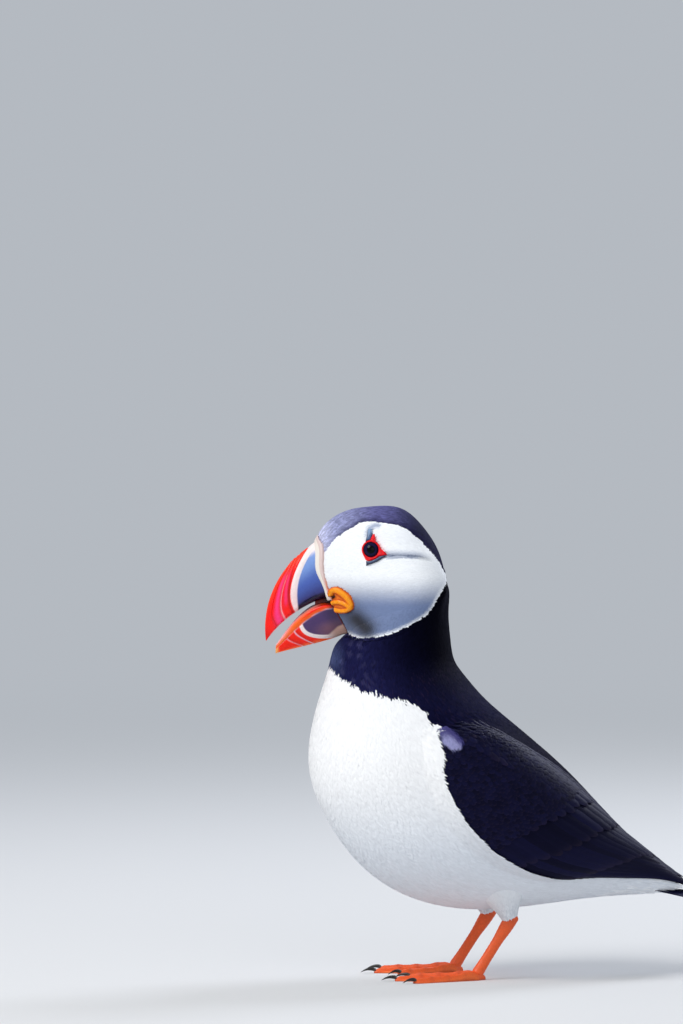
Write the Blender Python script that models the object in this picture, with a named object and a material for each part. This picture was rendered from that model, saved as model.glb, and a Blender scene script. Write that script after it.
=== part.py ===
"""An Atlantic puffin at life size, standing upright with its bill a little open and its head turned.

The bird faces -Y and stands on the floor at z = 0, its left side at +X. All sizes below are in
millimetres and are turned into metres as the meshes are made. The head, the neck with the trunk,
and both halves of the bill are lofts between sections. A section is set by a point on the back,
a point on the belly side and a half width. What lies on the body, such as a wing, an eyelid or a
horny plate, is a shell that follows the surface under it.
"""

import math

import bmesh
import bpy
import numpy as np
from mathutils import Matrix, Vector
from mathutils.bvhtree import BVHTree

# ---------------------------------------------------------------- driving sizes, in mm
MM = 0.001
GAP = 0.32                    # clear space left between two pieces that touch
HEAD_AROUND, BODY_AROUND, BILL_AROUND, TAIL_AROUND, LID_AROUND = 28, 32, 20, 20, 26
HEAD_TURN = math.radians(-12)  # the head looks this far to the bird's right
TURN_AXIS_Y = -15.0           # the neck's upright axis, which the head turns about
TURN_STARTS_Z = 98.0          # no turn below this height
TURN_ENDS_Z = 134.0           # the whole turn above it
CENTRING = (0.0, -25.4, 0.0)  # puts the origin under the middle of the whole bird

# Head sections, from the bill's base to the back of the head:
# crown y, z, throat y, z, half width, place of the widest point, fullness, forward bulge
HEAD_SECTIONS = np.array([
    (-49.4, 187.4, -35.0, 145.5, 7.8, 0.60, 0.95, 3.4),    # face, at the bill
    (-45.3, 193.4, -31.0, 143.6, 12.6, 0.62, 0.90, 1.9),   # forehead
    (-36.6, 198.4, -26.3, 142.4, 17.0, 0.62, 0.88, 0.6),   # lores
    (-25.3, 200.0, -20.6, 142.4, 20.2, 0.62, 0.88, 0.0),   # eyes
    (-13.6, 199.5, -13.8, 144.2, 22.2, 0.60, 0.90, 0.0),   # cheeks
    (-4.9, 192.3, -7.0, 148.6, 22.0, 0.56, 0.95, 0.0),     # ear
    (1.6, 183.0, -1.2, 155.2, 18.6, 0.52, 1.0, 0.0),       # back of the head
    (5.3, 175.0, 4.2, 162.2, 12.0, 0.50, 1.0, 0.0),        # nape
    (7.0, 168.6, 7.0, 168.6, 0.0, 0.50, 1.0, 0.0),
])

# Neck and trunk sections, from inside the head to the tip of the tail. Columns as above.
BODY_SECTIONS = np.array([
    (-10.0, 168.0, -10.0, 168.0, 0.0, 0.50, 1.0, 0.0),     # hidden in the head
    (6.4, 166.6, -25.0, 155.0, 18.0, 0.50, 1.0, 0.0),
    (7.7, 156.8, -37.8, 144.8, 22.2, 0.50, 0.98, 0.0),     # throat
    (8.4, 145.2, -42.4, 138.4, 24.6, 0.50, 0.96, 0.0),
    (9.8, 135.8, -44.4, 130.2, 26.8, 0.50, 0.94, 0.0),     # collar
    (13.2, 129.6, -47.6, 119.8, 31.0, 0.50, 0.92, 0.0),
    (18.2, 122.6, -50.8, 107.0, 36.2, 0.50, 0.92, 0.0),    # shoulders
    (24.8, 115.8, -52.2, 93.6, 40.4, 0.50, 0.92, 0.0),
    (32.8, 109.0, -50.2, 80.2, 42.8, 0.50, 0.92, 0.0),     # breast
    (41.8, 101.6, -43.8, 66.0, 43.6, 0.50, 0.92, 0.0),
    (51.2, 93.6, -34.0, 51.8, 43.4, 0.50, 0.92, 0.0),      # flanks
    (60.6, 84.8, -20.8, 40.0, 41.8, 0.50, 0.93, 0.0),
    (69.6, 75.4, -3.8, 32.0, 38.4, 0.50, 0.94, 0.0),       # legs
    (78.2, 66.2, 15.6, 28.6, 33.4, 0.50, 0.95, 0.0),
    (86.6, 57.9, 34.8, 29.0, 26.8, 0.48, 0.96, 0.0),       # vent
    (94.4, 50.7, 53.8, 31.0, 20.2, 0.46, 0.97, 0.0),       # tail coverts
    (102.0, 44.6, 73.2, 33.0, 14.6, 0.44, 1.0, 0.0),
    (109.8, 39.0, 94.0, 33.8, 9.4, 0.44, 1.0, 0.0),
])
NECK_END, TRUNK_END = 5.6, 16.6   # places along the body's sections

# Each wing: place along the body, then its upper and lower edge in degrees from the back.
WING_EDGES = np.array([
    (6.90, 72.0, 76.0),
    (7.15, 58.0, 84.0),
    (7.9, 46.0, 90.0),
    (9.0, 38.0, 96.0),
    (10.5, 32.0, 100.0),
    (12.0, 27.0, 101.0),
    (13.6, 22.5, 98.0),
    (15.0, 18.0, 90.0),
    (16.2, 14.0, 74.0),
    (17.1, 11.5, 52.0),
    (17.55, 13.0, 30.0),
])
WING_THICK, WING_EDGE_THICK, WING_GAP = 3.6, 0.7, 0.6

# Bill outlines as cubic curves, each with its two ends and two handles: y, z
CULMEN = ((-49.0, 185.0), (-61.5, 178.0), (-73.0, 163.0), (-70.7, 143.2))
UPPER_EDGE = ((-44.6, 161.4), (-53.0, 159.2), (-64.5, 152.0), (-70.4, 142.9))
LOWER_EDGE = ((-43.4, 159.4), (-53.6, 160.6), (-60.8, 148.9), (-66.4, 141.2))
GONYS = ((-35.9, 146.6), (-44.0, 142.4), (-56.0, 140.6), (-66.6, 137.5))
UPPER_HALF_WIDTHS = (6.9, 6.3, 5.1, 3.7, 2.3, 0.6)
LOWER_HALF_WIDTHS = (6.0, 5.6, 4.7, 3.6, 2.3, 0.9)
CERE_ENDS = 0.085             # share of the upper bill that the fleshy strip takes
CERE_PROUD = 0.55
FRONT_HALF = 8.0              # half width of the head where the bill meets it

EYE_Y, EYE_Z, EYE_RADIUS, EYE_SHOWS = -26.0, 182.1, 4.3, 3.3
LID_WIDTH = 0.95
LID_CORNERS = ((88, 2.4, 15), (344, 2.4, 17), (253, 1.2, 22))  # degrees, reach and spread of each
BROW_FOOT_TURNS, BROW_TOP, BROW_TOP_SPAN = (140, 111), 8.2, (-1.5, -0.7)
ROSETTE_Y, ROSETTE_Z, ROSETTE_RADIUS = -39.0, 160.8, 5.0

ANKLE = (20.5, 29.5, 25.0)
TOE_ROOT = (21.5, 14.0, 3.6)
TARSUS_RADIUS = 2.3
TOES = ((-22, 28.5), (-1, 34.5), (21, 31.5))   # degrees outwards from straight ahead, and length
HEEL_BEHIND = 5.0
TOE_THICK, WEB_THICK = 3.3, 0.9
CLAW_LENGTH = 6.0

TAIL_ROOT, TAIL_TIP = (88.0, 36.2), (120.5, 29.8)
TAIL_ROOT_HALF, TAIL_TIP_HALF, TAIL_ROOF = 9.5, 17.5, 2.4
TAIL_ROOT_THICK, TAIL_TIP_THICK = 2.6, 0.75

COLOURS = {  # colour, roughness
    "black plumage": ((0.013, 0.013, 0.018), 0.6),
    "crown plumage": ((0.075, 0.070, 0.085), 0.7),
    "white plumage": ((0.83, 0.85, 0.87), 0.7),
    "red horn": ((0.80, 0.055, 0.02), 0.35),
    "cream flesh": ((0.86, 0.74, 0.60), 0.5),
    "orange flesh": ((0.90, 0.30, 0.015), 0.45),
    "blue horn": ((0.10, 0.14, 0.24), 0.4),
    "red lid": ((0.70, 0.02, 0.02), 0.4),
    "eye": ((0.01, 0.008, 0.008), 0.08),
    "orange leg": ((0.85, 0.20, 0.02), 0.45),
    "claw": ((0.02, 0.018, 0.018), 0.35),
}


# ---------------------------------------------------------------- curves and sections
def spline(values, places):
    """A natural cubic spline through values at 0, 1, 2 and so on, read at these places."""
    values = np.asarray(values, float)
    places = np.asarray(places, float)
    count = len(values)
    system = np.eye(count)
    pull = np.zeros_like(values)
    for i in range(1, count - 1):
        system[i, i - 1:i + 2] = (1, 4, 1)
        pull[i] = 6 * (values[i - 1] - 2 * values[i] + values[i + 1])
    bend = np.linalg.solve(system, pull)
    i = np.clip(np.floor(places).astype(int), 0, count - 2)
    f = (places - i).reshape(places.shape + (1,) * (values.ndim - 1))
    g = 1 - f
    return (g * values[i] + f * values[i + 1]
            + ((g**3 - g) * bend[i] + (f**3 - f) * bend[i + 1]) / 6)


def bezier(ends, t):
    """Points at t, from 0 to 1, on a cubic curve given as two ends with two handles between."""
    t = np.asarray(t, float)[..., None]
    p = np.array(ends, float)
    return (1 - t)**3 * p[0] + 3 * (1 - t)**2 * t * p[1] + 3 * (1 - t) * t**2 * p[2] + t**3 * p[3]


def smooth_step(x):
    x = np.clip(x, 0, 1)
    return x * x * (3 - 2 * x)


def turn_head(points):
    """Turns what lies above the shoulders about the neck, more the higher it is."""
    p = np.array(points, float)
    share = smooth_step((p[..., 2] - TURN_STARTS_Z) / (TURN_ENDS_Z - TURN_STARTS_Z))
    angle = HEAD_TURN * share
    x, y = p[..., 0].copy(), p[..., 1] - TURN_AXIS_Y
    p[..., 0] = x * np.cos(angle) - y * np.sin(angle)
    p[..., 1] = x * np.sin(angle) + y * np.cos(angle) + TURN_AXIS_Y
    return p


def on_sections(sections, place, angle):
    """Points of a loft at places along it and at angles round it, 0 on the back and pi below."""
    place, angle = np.broadcast_arrays(np.asarray(place, float), np.asarray(angle, float))
    back_y, back_z, low_y, low_z, half, widest, full, bulge = np.moveaxis(
        spline(sections, place), -1, 0)
    half = np.maximum(half, 0)
    c, s = np.cos(angle), np.sin(angle)
    down = np.where(c > 0, widest * (1 - c), widest - (1 - widest) * c)
    x = half * np.sign(s) * np.abs(s)**full
    y = back_y + down * (low_y - back_y) - bulge * 4 * down * (1 - down)
    z = back_z + down * (low_z - back_z)
    return np.stack([x, y, z], axis=-1)


def off_sections(sections, place, angle, lift):
    """The same points moved out from the surface by lift."""
    step = 1e-3
    along = on_sections(sections, place + step, angle) - on_sections(sections, place - step, angle)
    around = on_sections(sections, place, angle + step) - on_sections(sections, place, angle - step)
    out = np.cross(around, along)
    out /= np.maximum(np.linalg.norm(out, axis=-1, keepdims=True), 1e-12)
    return on_sections(sections, place, angle) + out * np.asarray(lift)[..., None]


def face_y(z):
    """Where the front of the head lies at a height, in the plane of symmetry."""
    back_y, back_z, low_y, low_z, _, _, _, bulge = HEAD_SECTIONS[0]
    down = (back_z - np.asarray(z, float)) / (back_z - low_z)
    return back_y + down * (low_y - back_y) - bulge * 4 * down * (1 - down)


# ---------------------------------------------------------------- meshes
def material(name):
    made = bpy.data.materials.get(name)
    if made is None:
        made = bpy.data.materials.new(name)
        made.use_nodes = True
        shader = made.node_tree.nodes["Principled BSDF"]
        colour, roughness = COLOURS[name]
        shader.inputs["Base Color"].default_value = (*colour, 1)
        shader.inputs["Roughness"].default_value = roughness
    return made


def add_object(name, mesh, finish, home):
    """Links a mesh as a smooth object of that finish, with its faces turned outwards."""
    cleaner = bmesh.new()
    cleaner.from_mesh(mesh)
    bmesh.ops.recalc_face_normals(cleaner, faces=cleaner.faces)
    cleaner.to_mesh(mesh)
    cleaner.free()
    mesh.transform(Matrix.Diagonal((MM, MM, MM, 1)) @ Matrix.Translation(Vector(CENTRING)))
    mesh.shade_smooth()
    mesh.set_sharp_from_angle(angle=math.radians(45))
    made = bpy.data.objects.new(name, mesh)
    made.data.materials.append(material(finish))
    home.objects.link(made)
    return made


def capped_tube(name, rings):
    """A closed mesh through rings of points. A ring whose points meet becomes one point."""
    mesh = bmesh.new()
    rows = []
    for ring in rings:
        if np.ptp(ring, axis=0).max() < 1e-6:
            rows.append([mesh.verts.new(ring[0])])
        else:
            rows.append([mesh.verts.new(p) for p in ring])
    for first, second in zip(rows, rows[1:]):
        count = max(len(first), len(second))
        for i in range(count):
            j = (i + 1) % count
            corners = []
            for vert in (first[i % len(first)], first[j % len(first)],
                         second[j % len(second)], second[i % len(second)]):
                if vert not in corners:
                    corners.append(vert)
            mesh.faces.new(corners)
    for row in (rows[0], rows[-1]):
        if len(row) > 1:
            close_across(mesh, row)
    made = bpy.data.meshes.new(name)
    mesh.to_mesh(made)
    mesh.free()
    return made


def close_across(mesh, row):
    """Caps a ring with strips that run from one side to the other, so that a bent end stays true."""
    count = len(row)
    for i in range(count // 2):
        corners = []
        for vert in (row[i], row[i + 1], row[(count - i - 1) % count], row[(count - i) % count]):
            if vert not in corners:
                corners.append(vert)
        mesh.faces.new(corners)


def closed_shell(name, inner, outer, loops=False):
    """A closed mesh between two grids of points that match. With loops, the grids' rows are rings."""
    mesh = bmesh.new()
    low = [[mesh.verts.new(p) for p in row] for row in inner]
    high = [[mesh.verts.new(p) for p in row] for row in outer]
    rows, columns = len(low), len(low[0])
    last = columns if loops else columns - 1
    for i in range(rows - 1):
        for j in range(last):
            k = (j + 1) % columns
            mesh.faces.new((low[i][j], low[i][k], low[i + 1][k], low[i + 1][j]))
            mesh.faces.new((high[i][j], high[i + 1][j], high[i + 1][k], high[i][k]))
    for i in (0, rows - 1):
        for j in range(last):
            k = (j + 1) % columns
            mesh.faces.new((low[i][j], high[i][j], high[i][k], low[i][k]))
    if not loops:
        for j in (0, columns - 1):
            for i in range(rows - 1):
                mesh.faces.new((low[i][j], low[i + 1][j], high[i + 1][j], high[i][j]))
    made = bpy.data.meshes.new(name)
    mesh.to_mesh(made)
    mesh.free()
    return made


def section_rings(sections, places, around, lift=0.0):
    angles = np.linspace(0, 2 * math.pi, around, endpoint=False)
    rings = []
    for place in places:
        if lift:
            rings.append(off_sections(sections, place, angles, lift))
        else:
            rings.append(on_sections(sections, np.full(around, place), angles))
    return rings


def cut(target, cutter):
    """Takes the cutter's shape out of the target and keeps the cutter as a hidden helper."""
    taken = target.modifiers.new("cut by " + cutter.name, "BOOLEAN")
    taken.operation = "DIFFERENCE"
    taken.object = cutter
    cutter.hide_render = True
    cutter.display_type = "WIRE"


# ---------------------------------------------------------------- head and trunk
def head_mesh(name, lift=0.0):
    """The head before it turns, or a copy swollen by lift that serves to cut its neighbours."""
    places = [0, 0.4, 1.0, 1.7, 2.5, 3.3, 4.1, 4.9, 5.6, 6.3, 6.9, 7.4, 7.75]
    rings = section_rings(HEAD_SECTIONS, places, HEAD_AROUND, lift)
    end = on_sections(HEAD_SECTIONS, np.full(HEAD_AROUND, 8.0), np.zeros(HEAD_AROUND))
    rings.append(end + np.array((0, lift, 0)))
    if lift:
        rings[0][:, 1] -= lift
    return capped_tube(name, rings)


def neck_and_trunk(bird, cutters):
    """The neck is hollowed to take the head, and the trunk follows it across a thin cut."""
    neck_places = [0.0, 0.4, 1.0, 1.6, 2.3, 3.0, 3.7, 4.4, 5.0, NECK_END]
    neck_rings = section_rings(BODY_SECTIONS, neck_places, BODY_AROUND)
    neck = capped_tube("neck", [turn_head(ring) for ring in neck_rings])
    neck = add_object("neck", neck, "black plumage", bird)
    swollen = head_mesh("head_space", lift=GAP)
    swollen.transform(turning_matrix())
    cut(neck, add_object("head_space", swollen, "black plumage", cutters))

    first = NECK_END + 0.045
    trunk_places = np.linspace(first, TRUNK_END, 17)
    trunk_rings = section_rings(BODY_SECTIONS, trunk_places, BODY_AROUND)
    trunk = capped_tube("trunk", [turn_head(ring) for ring in trunk_rings])
    add_object("trunk", trunk, "white plumage", bird)


def turning_matrix():
    """The whole turn of the head, for a mesh that lies above the shoulders."""
    centre = Matrix.Translation(Vector((0, TURN_AXIS_Y, 0)))
    return centre @ Matrix.Rotation(HEAD_TURN, 4, "Z") @ centre.inverted()


def swollen_trunk(cutters):
    """The trunk with GAP added all over, to cut what rests on it."""
    places = np.linspace(5.0, TRUNK_END + 0.05, 24)
    rings = [turn_head(ring) for ring in section_rings(BODY_SECTIONS, places, BODY_AROUND, lift=GAP)]
    return add_object("trunk_space", capped_tube("trunk_space", rings), "white plumage", cutters)


def wing(name, side, bird):
    """A folded wing: a shell over the flank that leaves the body as the wing tip."""
    share = (1 - np.cos(np.linspace(0, math.pi, 21))) / 2
    where = spline(WING_EDGES, share * (len(WING_EDGES) - 1))
    across = np.linspace(0, 1, 9)
    place = np.repeat(where[:, :1], len(across), axis=1)
    angle = np.radians(where[:, 1:2] + across * (where[:, 2:3] - where[:, 1:2]))
    dome = np.sqrt(np.clip(1 - np.abs(2 * across - 1)**3, 0, 1))
    thin_to_tip = 1 - 0.55 * smooth_step((place - 11) / 6.5)
    front = smooth_step((place - WING_EDGES[0, 0]) / 1.2)
    thick = WING_EDGE_THICK + WING_THICK * dome * thin_to_tip * front
    under = off_sections(BODY_SECTIONS, place, side * angle, WING_GAP)
    over = off_sections(BODY_SECTIONS, place, side * angle, WING_GAP + thick)
    shell = closed_shell(name, turn_head(under), turn_head(over))
    add_object(name, shell, "black plumage", bird)


def tail(bird, trunk_space):
    """A short, round-ended fan, roofed a little along the middle."""
    share = (1 - np.cos(np.linspace(0, math.pi, 10))) / 2
    root, tip = np.array(TAIL_ROOT), np.array(TAIL_TIP)
    angles = np.linspace(0, 2 * math.pi, TAIL_AROUND, endpoint=False)
    rings = []
    for a in share:
        y, z = root + a * (tip - root)
        width = TAIL_ROOT_HALF + a * (TAIL_TIP_HALF - TAIL_ROOT_HALF)
        round_end = math.sqrt(max(0.0, 1 - max(0.0, (a - 0.72) / 0.28)**2))
        x = width * max(round_end, 0.12) * np.cos(angles)
        roof = TAIL_ROOF * (0.4 + 0.6 * a) * (1 - (x / TAIL_TIP_HALF)**2)
        thick = TAIL_TIP_THICK + TAIL_ROOT_THICK * (1 - a)
        rings.append(np.column_stack([x, np.full(TAIL_AROUND, y), z + roof + thick * np.sin(angles)]))
    made = add_object("tail", capped_tube("tail", rings), "black plumage", bird)
    cut(made, trunk_space)


# ---------------------------------------------------------------- bill
def bill_rings(top, bottom, halves, shares, widest, proud=0.0):
    """Rings of half a bill between its upper and lower outline at shares of its length."""
    angles = np.linspace(0, 2 * math.pi, BILL_AROUND, endpoint=False)
    widths = spline(halves, np.asarray(shares) * (len(halves) - 1)) + proud
    rings = []
    for share, half in zip(shares, widths):
        high, low = bezier(top, share), bezier(bottom, share)
        along = (high - low) / np.linalg.norm(high - low)
        high, low = high + along * proud, low - along * proud * 0.3
        c = np.cos(angles)
        down = np.where(c > 0, widest * (1 - c), widest - (1 - widest) * c)
        yz = high + down[:, None] * (low - high)
        rings.append(np.column_stack([half * np.sin(angles), yz]))
    return rings


def seat_on_face(ring):
    """Bends a ring so that it meets the front of the head."""
    ring[:, 1] = face_y(ring[:, 2]) - GAP
    return ring


def bill(bird):
    """The horny upper and lower bill, and the fleshy strip round the upper bill's base."""
    cere = bill_rings(CULMEN, UPPER_EDGE, UPPER_HALF_WIDTHS, np.linspace(0, CERE_ENDS, 4), 0.9, CERE_PROUD)
    seat_on_face(cere[0])
    cere = [turn_head(ring) for ring in cere]
    add_object("bill_cere", capped_tube("bill_cere", cere), "cream flesh", bird)

    shares = CERE_ENDS + 0.011 + (0.989 - CERE_ENDS) * np.linspace(0, 1, 12)
    upper = [turn_head(ring) for ring in bill_rings(CULMEN, UPPER_EDGE, UPPER_HALF_WIDTHS, shares, 0.9)]
    add_object("bill_upper", capped_tube("bill_upper", upper), "red horn", bird)

    shares = np.linspace(0, 1, 12)
    lower = bill_rings(LOWER_EDGE, GONYS, LOWER_HALF_WIDTHS, shares, 0.14)
    seat_on_face(lower[0])
    lower = [turn_head(ring) for ring in lower]
    add_object("bill_lower", capped_tube("bill_lower", lower), "red horn", bird)


# ---------------------------------------------------------------- what lies on the face
class Face:
    """The side of the head, which finds the point and normal under a place in the side view."""

    def __init__(self):
        mesh = head_mesh("face")
        self.tree = BVHTree.FromPolygons([v.co.copy() for v in mesh.vertices],
                                         [tuple(p.vertices) for p in mesh.polygons])
        bpy.data.meshes.remove(mesh)

    def meets(self, side, y, z):
        """The face's point and normal nearest to a line of sight from the side."""
        found = self.tree.ray_cast(Vector((60 * side, y, z)), Vector((-side, 0, 0)))
        if found[0] is None:
            found = self.tree.find_nearest(Vector((FRONT_HALF * side, y, z)))
        return found[0], found[1] if found[1].x * side > 0 else -found[1]

    def under(self, side, y, z):
        """The same, with a normal that is smooth from facet to facet."""
        around = [self.meets(side, y + dy, z + dz)[1]
                  for dy, dz in ((0, 0), (1.2, 0), (-1.2, 0), (0, 1.2), (0, -1.2))]
        return self.meets(side, y, z)[0], sum(around, Vector()).normalized()

    def shell(self, name, side, grid, thick, loops):
        """A shell on the head over a grid of places in the side view, in rows."""
        inner, outer = [], []
        for row, heights in zip(grid, thick):
            found = [self.under(side, y, z) for y, z in row]
            inner.append([p + n * GAP for p, n in found])
            outer.append([p + n * (GAP + h) for (p, n), h in zip(found, heights)])
        return closed_shell(name, turn_head(inner), turn_head(outer), loops)


def around_point(y, z, reach, angles):
    """Places in the side view at these distances and angles from a point."""
    return np.column_stack([y + reach * np.cos(angles), z + reach * np.sin(angles)])


def lid_reach(angles):
    """How far the red lid reaches from the eye's middle, with its three corners."""
    reach = np.full(len(angles), EYE_SHOWS + LID_WIDTH)
    for at, more, spread in LID_CORNERS:
        off = (np.degrees(angles) - at + 180) % 360 - 180
        reach += more * np.exp(-(off / spread)**2)
    return reach


def eyes(face, head, bird, cutters):
    """Each eye is a ball in a socket, with a red lid, a plate above it and a bar below."""
    for side, word in ((1, "left"), (-1, "right")):
        at, out = face.under(side, EYE_Y, EYE_Z)
        out = (out + Vector((side, 0, 0))).normalized()  # the ball looks out more level than the face
        sunk = math.sqrt(EYE_RADIUS**2 - EYE_SHOWS**2)
        centre = at - out * (sunk - 0.2)
        for name, radius in (("eye_" + word, EYE_RADIUS), ("socket_" + word, EYE_RADIUS + GAP)):
            ball = bmesh.new()
            bmesh.ops.create_uvsphere(ball, u_segments=14, v_segments=8, radius=radius)
            placed = turning_matrix() @ Matrix.Translation(centre) @ Matrix.Rotation(math.pi / 2, 4, "Y")
            bmesh.ops.transform(ball, matrix=placed, verts=ball.verts)
            mesh = bpy.data.meshes.new(name)
            ball.to_mesh(mesh)
            ball.free()
            if name.startswith("eye"):
                add_object(name, mesh, "eye", bird)
            else:
                cut(head, add_object(name, mesh, "eye", cutters))

        angles = np.linspace(0, 2 * math.pi, LID_AROUND, endpoint=False)
        outer = lid_reach(angles)
        inner = np.full(LID_AROUND, EYE_SHOWS + GAP + 0.1)
        ring_rows, heights = [], []
        for share, height in ((0, 0.55), (0.35, 0.85), (1, 0.5)):
            reach = inner + share * (outer - inner)
            ring_rows.append(around_point(EYE_Y, EYE_Z, reach, angles))
            heights.append(np.full(LID_AROUND, height))
        lid = face.shell("eyelid_" + word, side, ring_rows, heights, True)
        add_object("eyelid_" + word, lid, "red lid", bird)

        plate = face.shell("brow_plate_" + word, side, *brow_plate(), False)
        add_object("brow_plate_" + word, plate, "blue horn", bird)
        bar = face.shell("under_eye_plate_" + word, side, *under_eye_plate(), False)
        add_object("under_eye_plate_" + word, bar, "blue horn", bird)


def brow_plate():
    """The small upright horn over the eye, in front of the lid's top corner and narrowing upwards."""
    turns = np.radians(np.linspace(*BROW_FOOT_TURNS, 4))
    reach = lid_reach(turns) + GAP + 0.1
    foot = np.column_stack([reach * np.cos(turns), reach * np.sin(turns)])
    top = np.column_stack([np.linspace(*BROW_TOP_SPAN, 4), np.full(4, BROW_TOP)])
    rows = [foot + share * (top - foot) + (EYE_Y, EYE_Z) for share in np.linspace(0, 1, 5)]
    return rows, [[0.5, 1.0, 1.0, 0.5]] * len(rows)


def under_eye_plate():
    """The flat horny bar below the eye, which follows the lid from its lowest corner to the rear one."""
    rows, heights = [], []
    for share in np.linspace(0, 1, 8):
        angle = math.radians(249 + 92 * share)
        inner = float(lid_reach(np.array([angle]))[0]) + 0.4
        wide = 1.9 - 0.9 * share
        rows.append([(EYE_Y + (inner + w) * math.cos(angle), EYE_Z + (inner + w) * math.sin(angle))
                     for w in (0, 0.35 * wide, 0.7 * wide, wide)])
        heights.append([0.5, 0.95, 0.95, 0.5])
    return rows, heights


def rosettes(face, bird):
    """The folded orange skin at each corner of the mouth: a thick ring open towards the bill."""
    for side, word in ((1, "left"), (-1, "right")):
        angles = np.linspace(math.radians(-168), math.radians(150), 18)
        rows, heights = [], []
        for share, height in ((0, 0.6), (0.3, 1.7), (0.7, 1.9), (1, 0.6)):
            reach = ROSETTE_RADIUS * (0.22 + 0.78 * share) * (1 + 0.10 * np.cos(angles))
            rows.append(around_point(ROSETTE_Y, ROSETTE_Z, reach, angles))
            heights.append(np.full(len(angles), height))
        skin = face.shell("rosette_" + word, side, rows, heights, False)
        add_object("rosette_" + word, skin, "orange flesh", bird)


# ---------------------------------------------------------------- legs
def tapered_tube(name, start, end, radii, around, cups=3):
    """A round-ended tube from start to end with these radii along it."""
    start, end = Vector(start), Vector(end)
    axis = (end - start).normalized()
    side = axis.cross(Vector((1, 0, 0))).normalized()
    other = axis.cross(side)
    length = (end - start).length
    rings = []
    count = len(radii)
    for i, radius in enumerate(radii):
        centre = start + axis * (length * i / (count - 1))
        rings.append((centre, radius))
    for k in range(1, cups + 1):
        turn = math.pi / 2 * k / cups
        reach, narrow = math.sin(turn), math.cos(turn)
        rings.insert(0, (start - axis * radii[0] * 0.6 * reach, radii[0] * narrow))
        rings.append((end + axis * radii[-1] * 0.6 * reach, radii[-1] * narrow))
    loops = []
    for centre, radius in rings:
        loop = []
        for j in range(around):
            angle = 2 * math.pi * j / around
            offset = side * math.cos(angle) + other * math.sin(angle)
            loop.append(tuple(centre + offset * (radius if radius > 1e-3 else 0)))
        loops.append(np.array(loop))
    return capped_tube(name, loops)


def foot_reach(angle):
    """How far the foot reaches at an angle: to the toe tips, and back in along the webs between."""
    tips = [(math.radians(a), length) for a, length in TOES]
    for (first, long_a), (second, long_b) in zip(tips, tips[1:]):
        if first <= angle <= second:
            share = (angle - first) / (second - first)
            straight = long_a + (long_b - long_a) * share
            return straight * (1 - 0.20 * math.sin(math.pi * share)**0.7)
    return tips[0][1] if angle < tips[0][0] else tips[-1][1]


def foot(word, side, bird):
    """Three flat toes with webs between them, on a sole that lies on the floor."""
    half_toe = math.radians(3.0)
    tips = [math.radians(a) for a, _ in TOES]
    angles = np.concatenate([
        [tips[0] - half_toe], np.linspace(tips[0], tips[1], 10), np.linspace(tips[1], tips[2], 10)[1:],
        [tips[2] + half_toe]])
    shares = np.array([0.0, 0.12, 0.28, 0.45, 0.62, 0.78, 0.9, 1.0])
    low, high = [], []
    heel = (TOE_ROOT[0], TOE_ROOT[1] + HEEL_BEHIND)
    for angle in angles:
        reach = foot_reach(min(max(angle, tips[0]), tips[-1])) + HEEL_BEHIND
        if angle < tips[0] or angle > tips[-1]:
            reach *= 0.985
        row_low, row_high = [], []
        for share in shares:
            away = 1.2 + (reach - 1.2) * share
            spread = 2.3 * (1 - share) * (angle - tips[1]) / (tips[-1] - tips[1])
            x = heel[0] + spread + away * math.sin(angle)
            y = heel[1] - away * math.cos(angle)
            off = min(abs(angle - tip) for tip in tips) * away
            ridge = math.exp(-(off / 1.5)**2)
            toe = (TOE_THICK - 1.1 * share) * ridge
            instep = 2.4 * math.exp(-((share - 0.12) / 0.16)**2) * math.exp(-(off / 3.0)**2)
            height = max(WEB_THICK, toe) + instep * 0.35
            row_low.append((side * x, y, 0.0))
            height *= 0.45 + 0.55 * min(1, share / 0.12) if share < 1 else 0.75
            row_high.append((side * x, y, height))
        low.append(row_low)
        high.append(row_high)
    add_object("foot_" + word, closed_shell("foot_" + word, low, high), "orange leg", bird)


def claws(word, side, bird):
    """A short curved claw before each toe, just clear of the floor."""
    for (degrees, length), toe in zip(TOES, ("inner", "middle", "outer")):
        angle = math.radians(degrees)
        ahead = np.array((side * math.sin(angle), -math.cos(angle), 0))
        across = np.array((side * math.cos(angle), math.sin(angle), 0))
        root = np.array((side * TOE_ROOT[0], TOE_ROOT[1] + HEEL_BEHIND, 0))
        start = root + ahead * (length + HEEL_BEHIND + GAP)
        rings = []
        for share in np.linspace(0, 1, 6):
            radius = 1.0 * (1 - share)**0.8 if share < 1 else 0
            height = 1.35 + 0.55 * math.sin(math.pi * share) - 0.95 * share**2
            centre = start + ahead * CLAW_LENGTH * share + np.array((0, 0, height))
            turns = np.linspace(0, 2 * math.pi, 8, endpoint=False)
            up = np.array((0, 0, 1))
            rings.append(np.array([centre + radius * (0.85 * math.cos(t) * across + math.sin(t) * up)
                                   for t in turns]))
        name = f"claw_{word}_{toe}"
        add_object(name, capped_tube(name, rings), "claw", bird)


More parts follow.
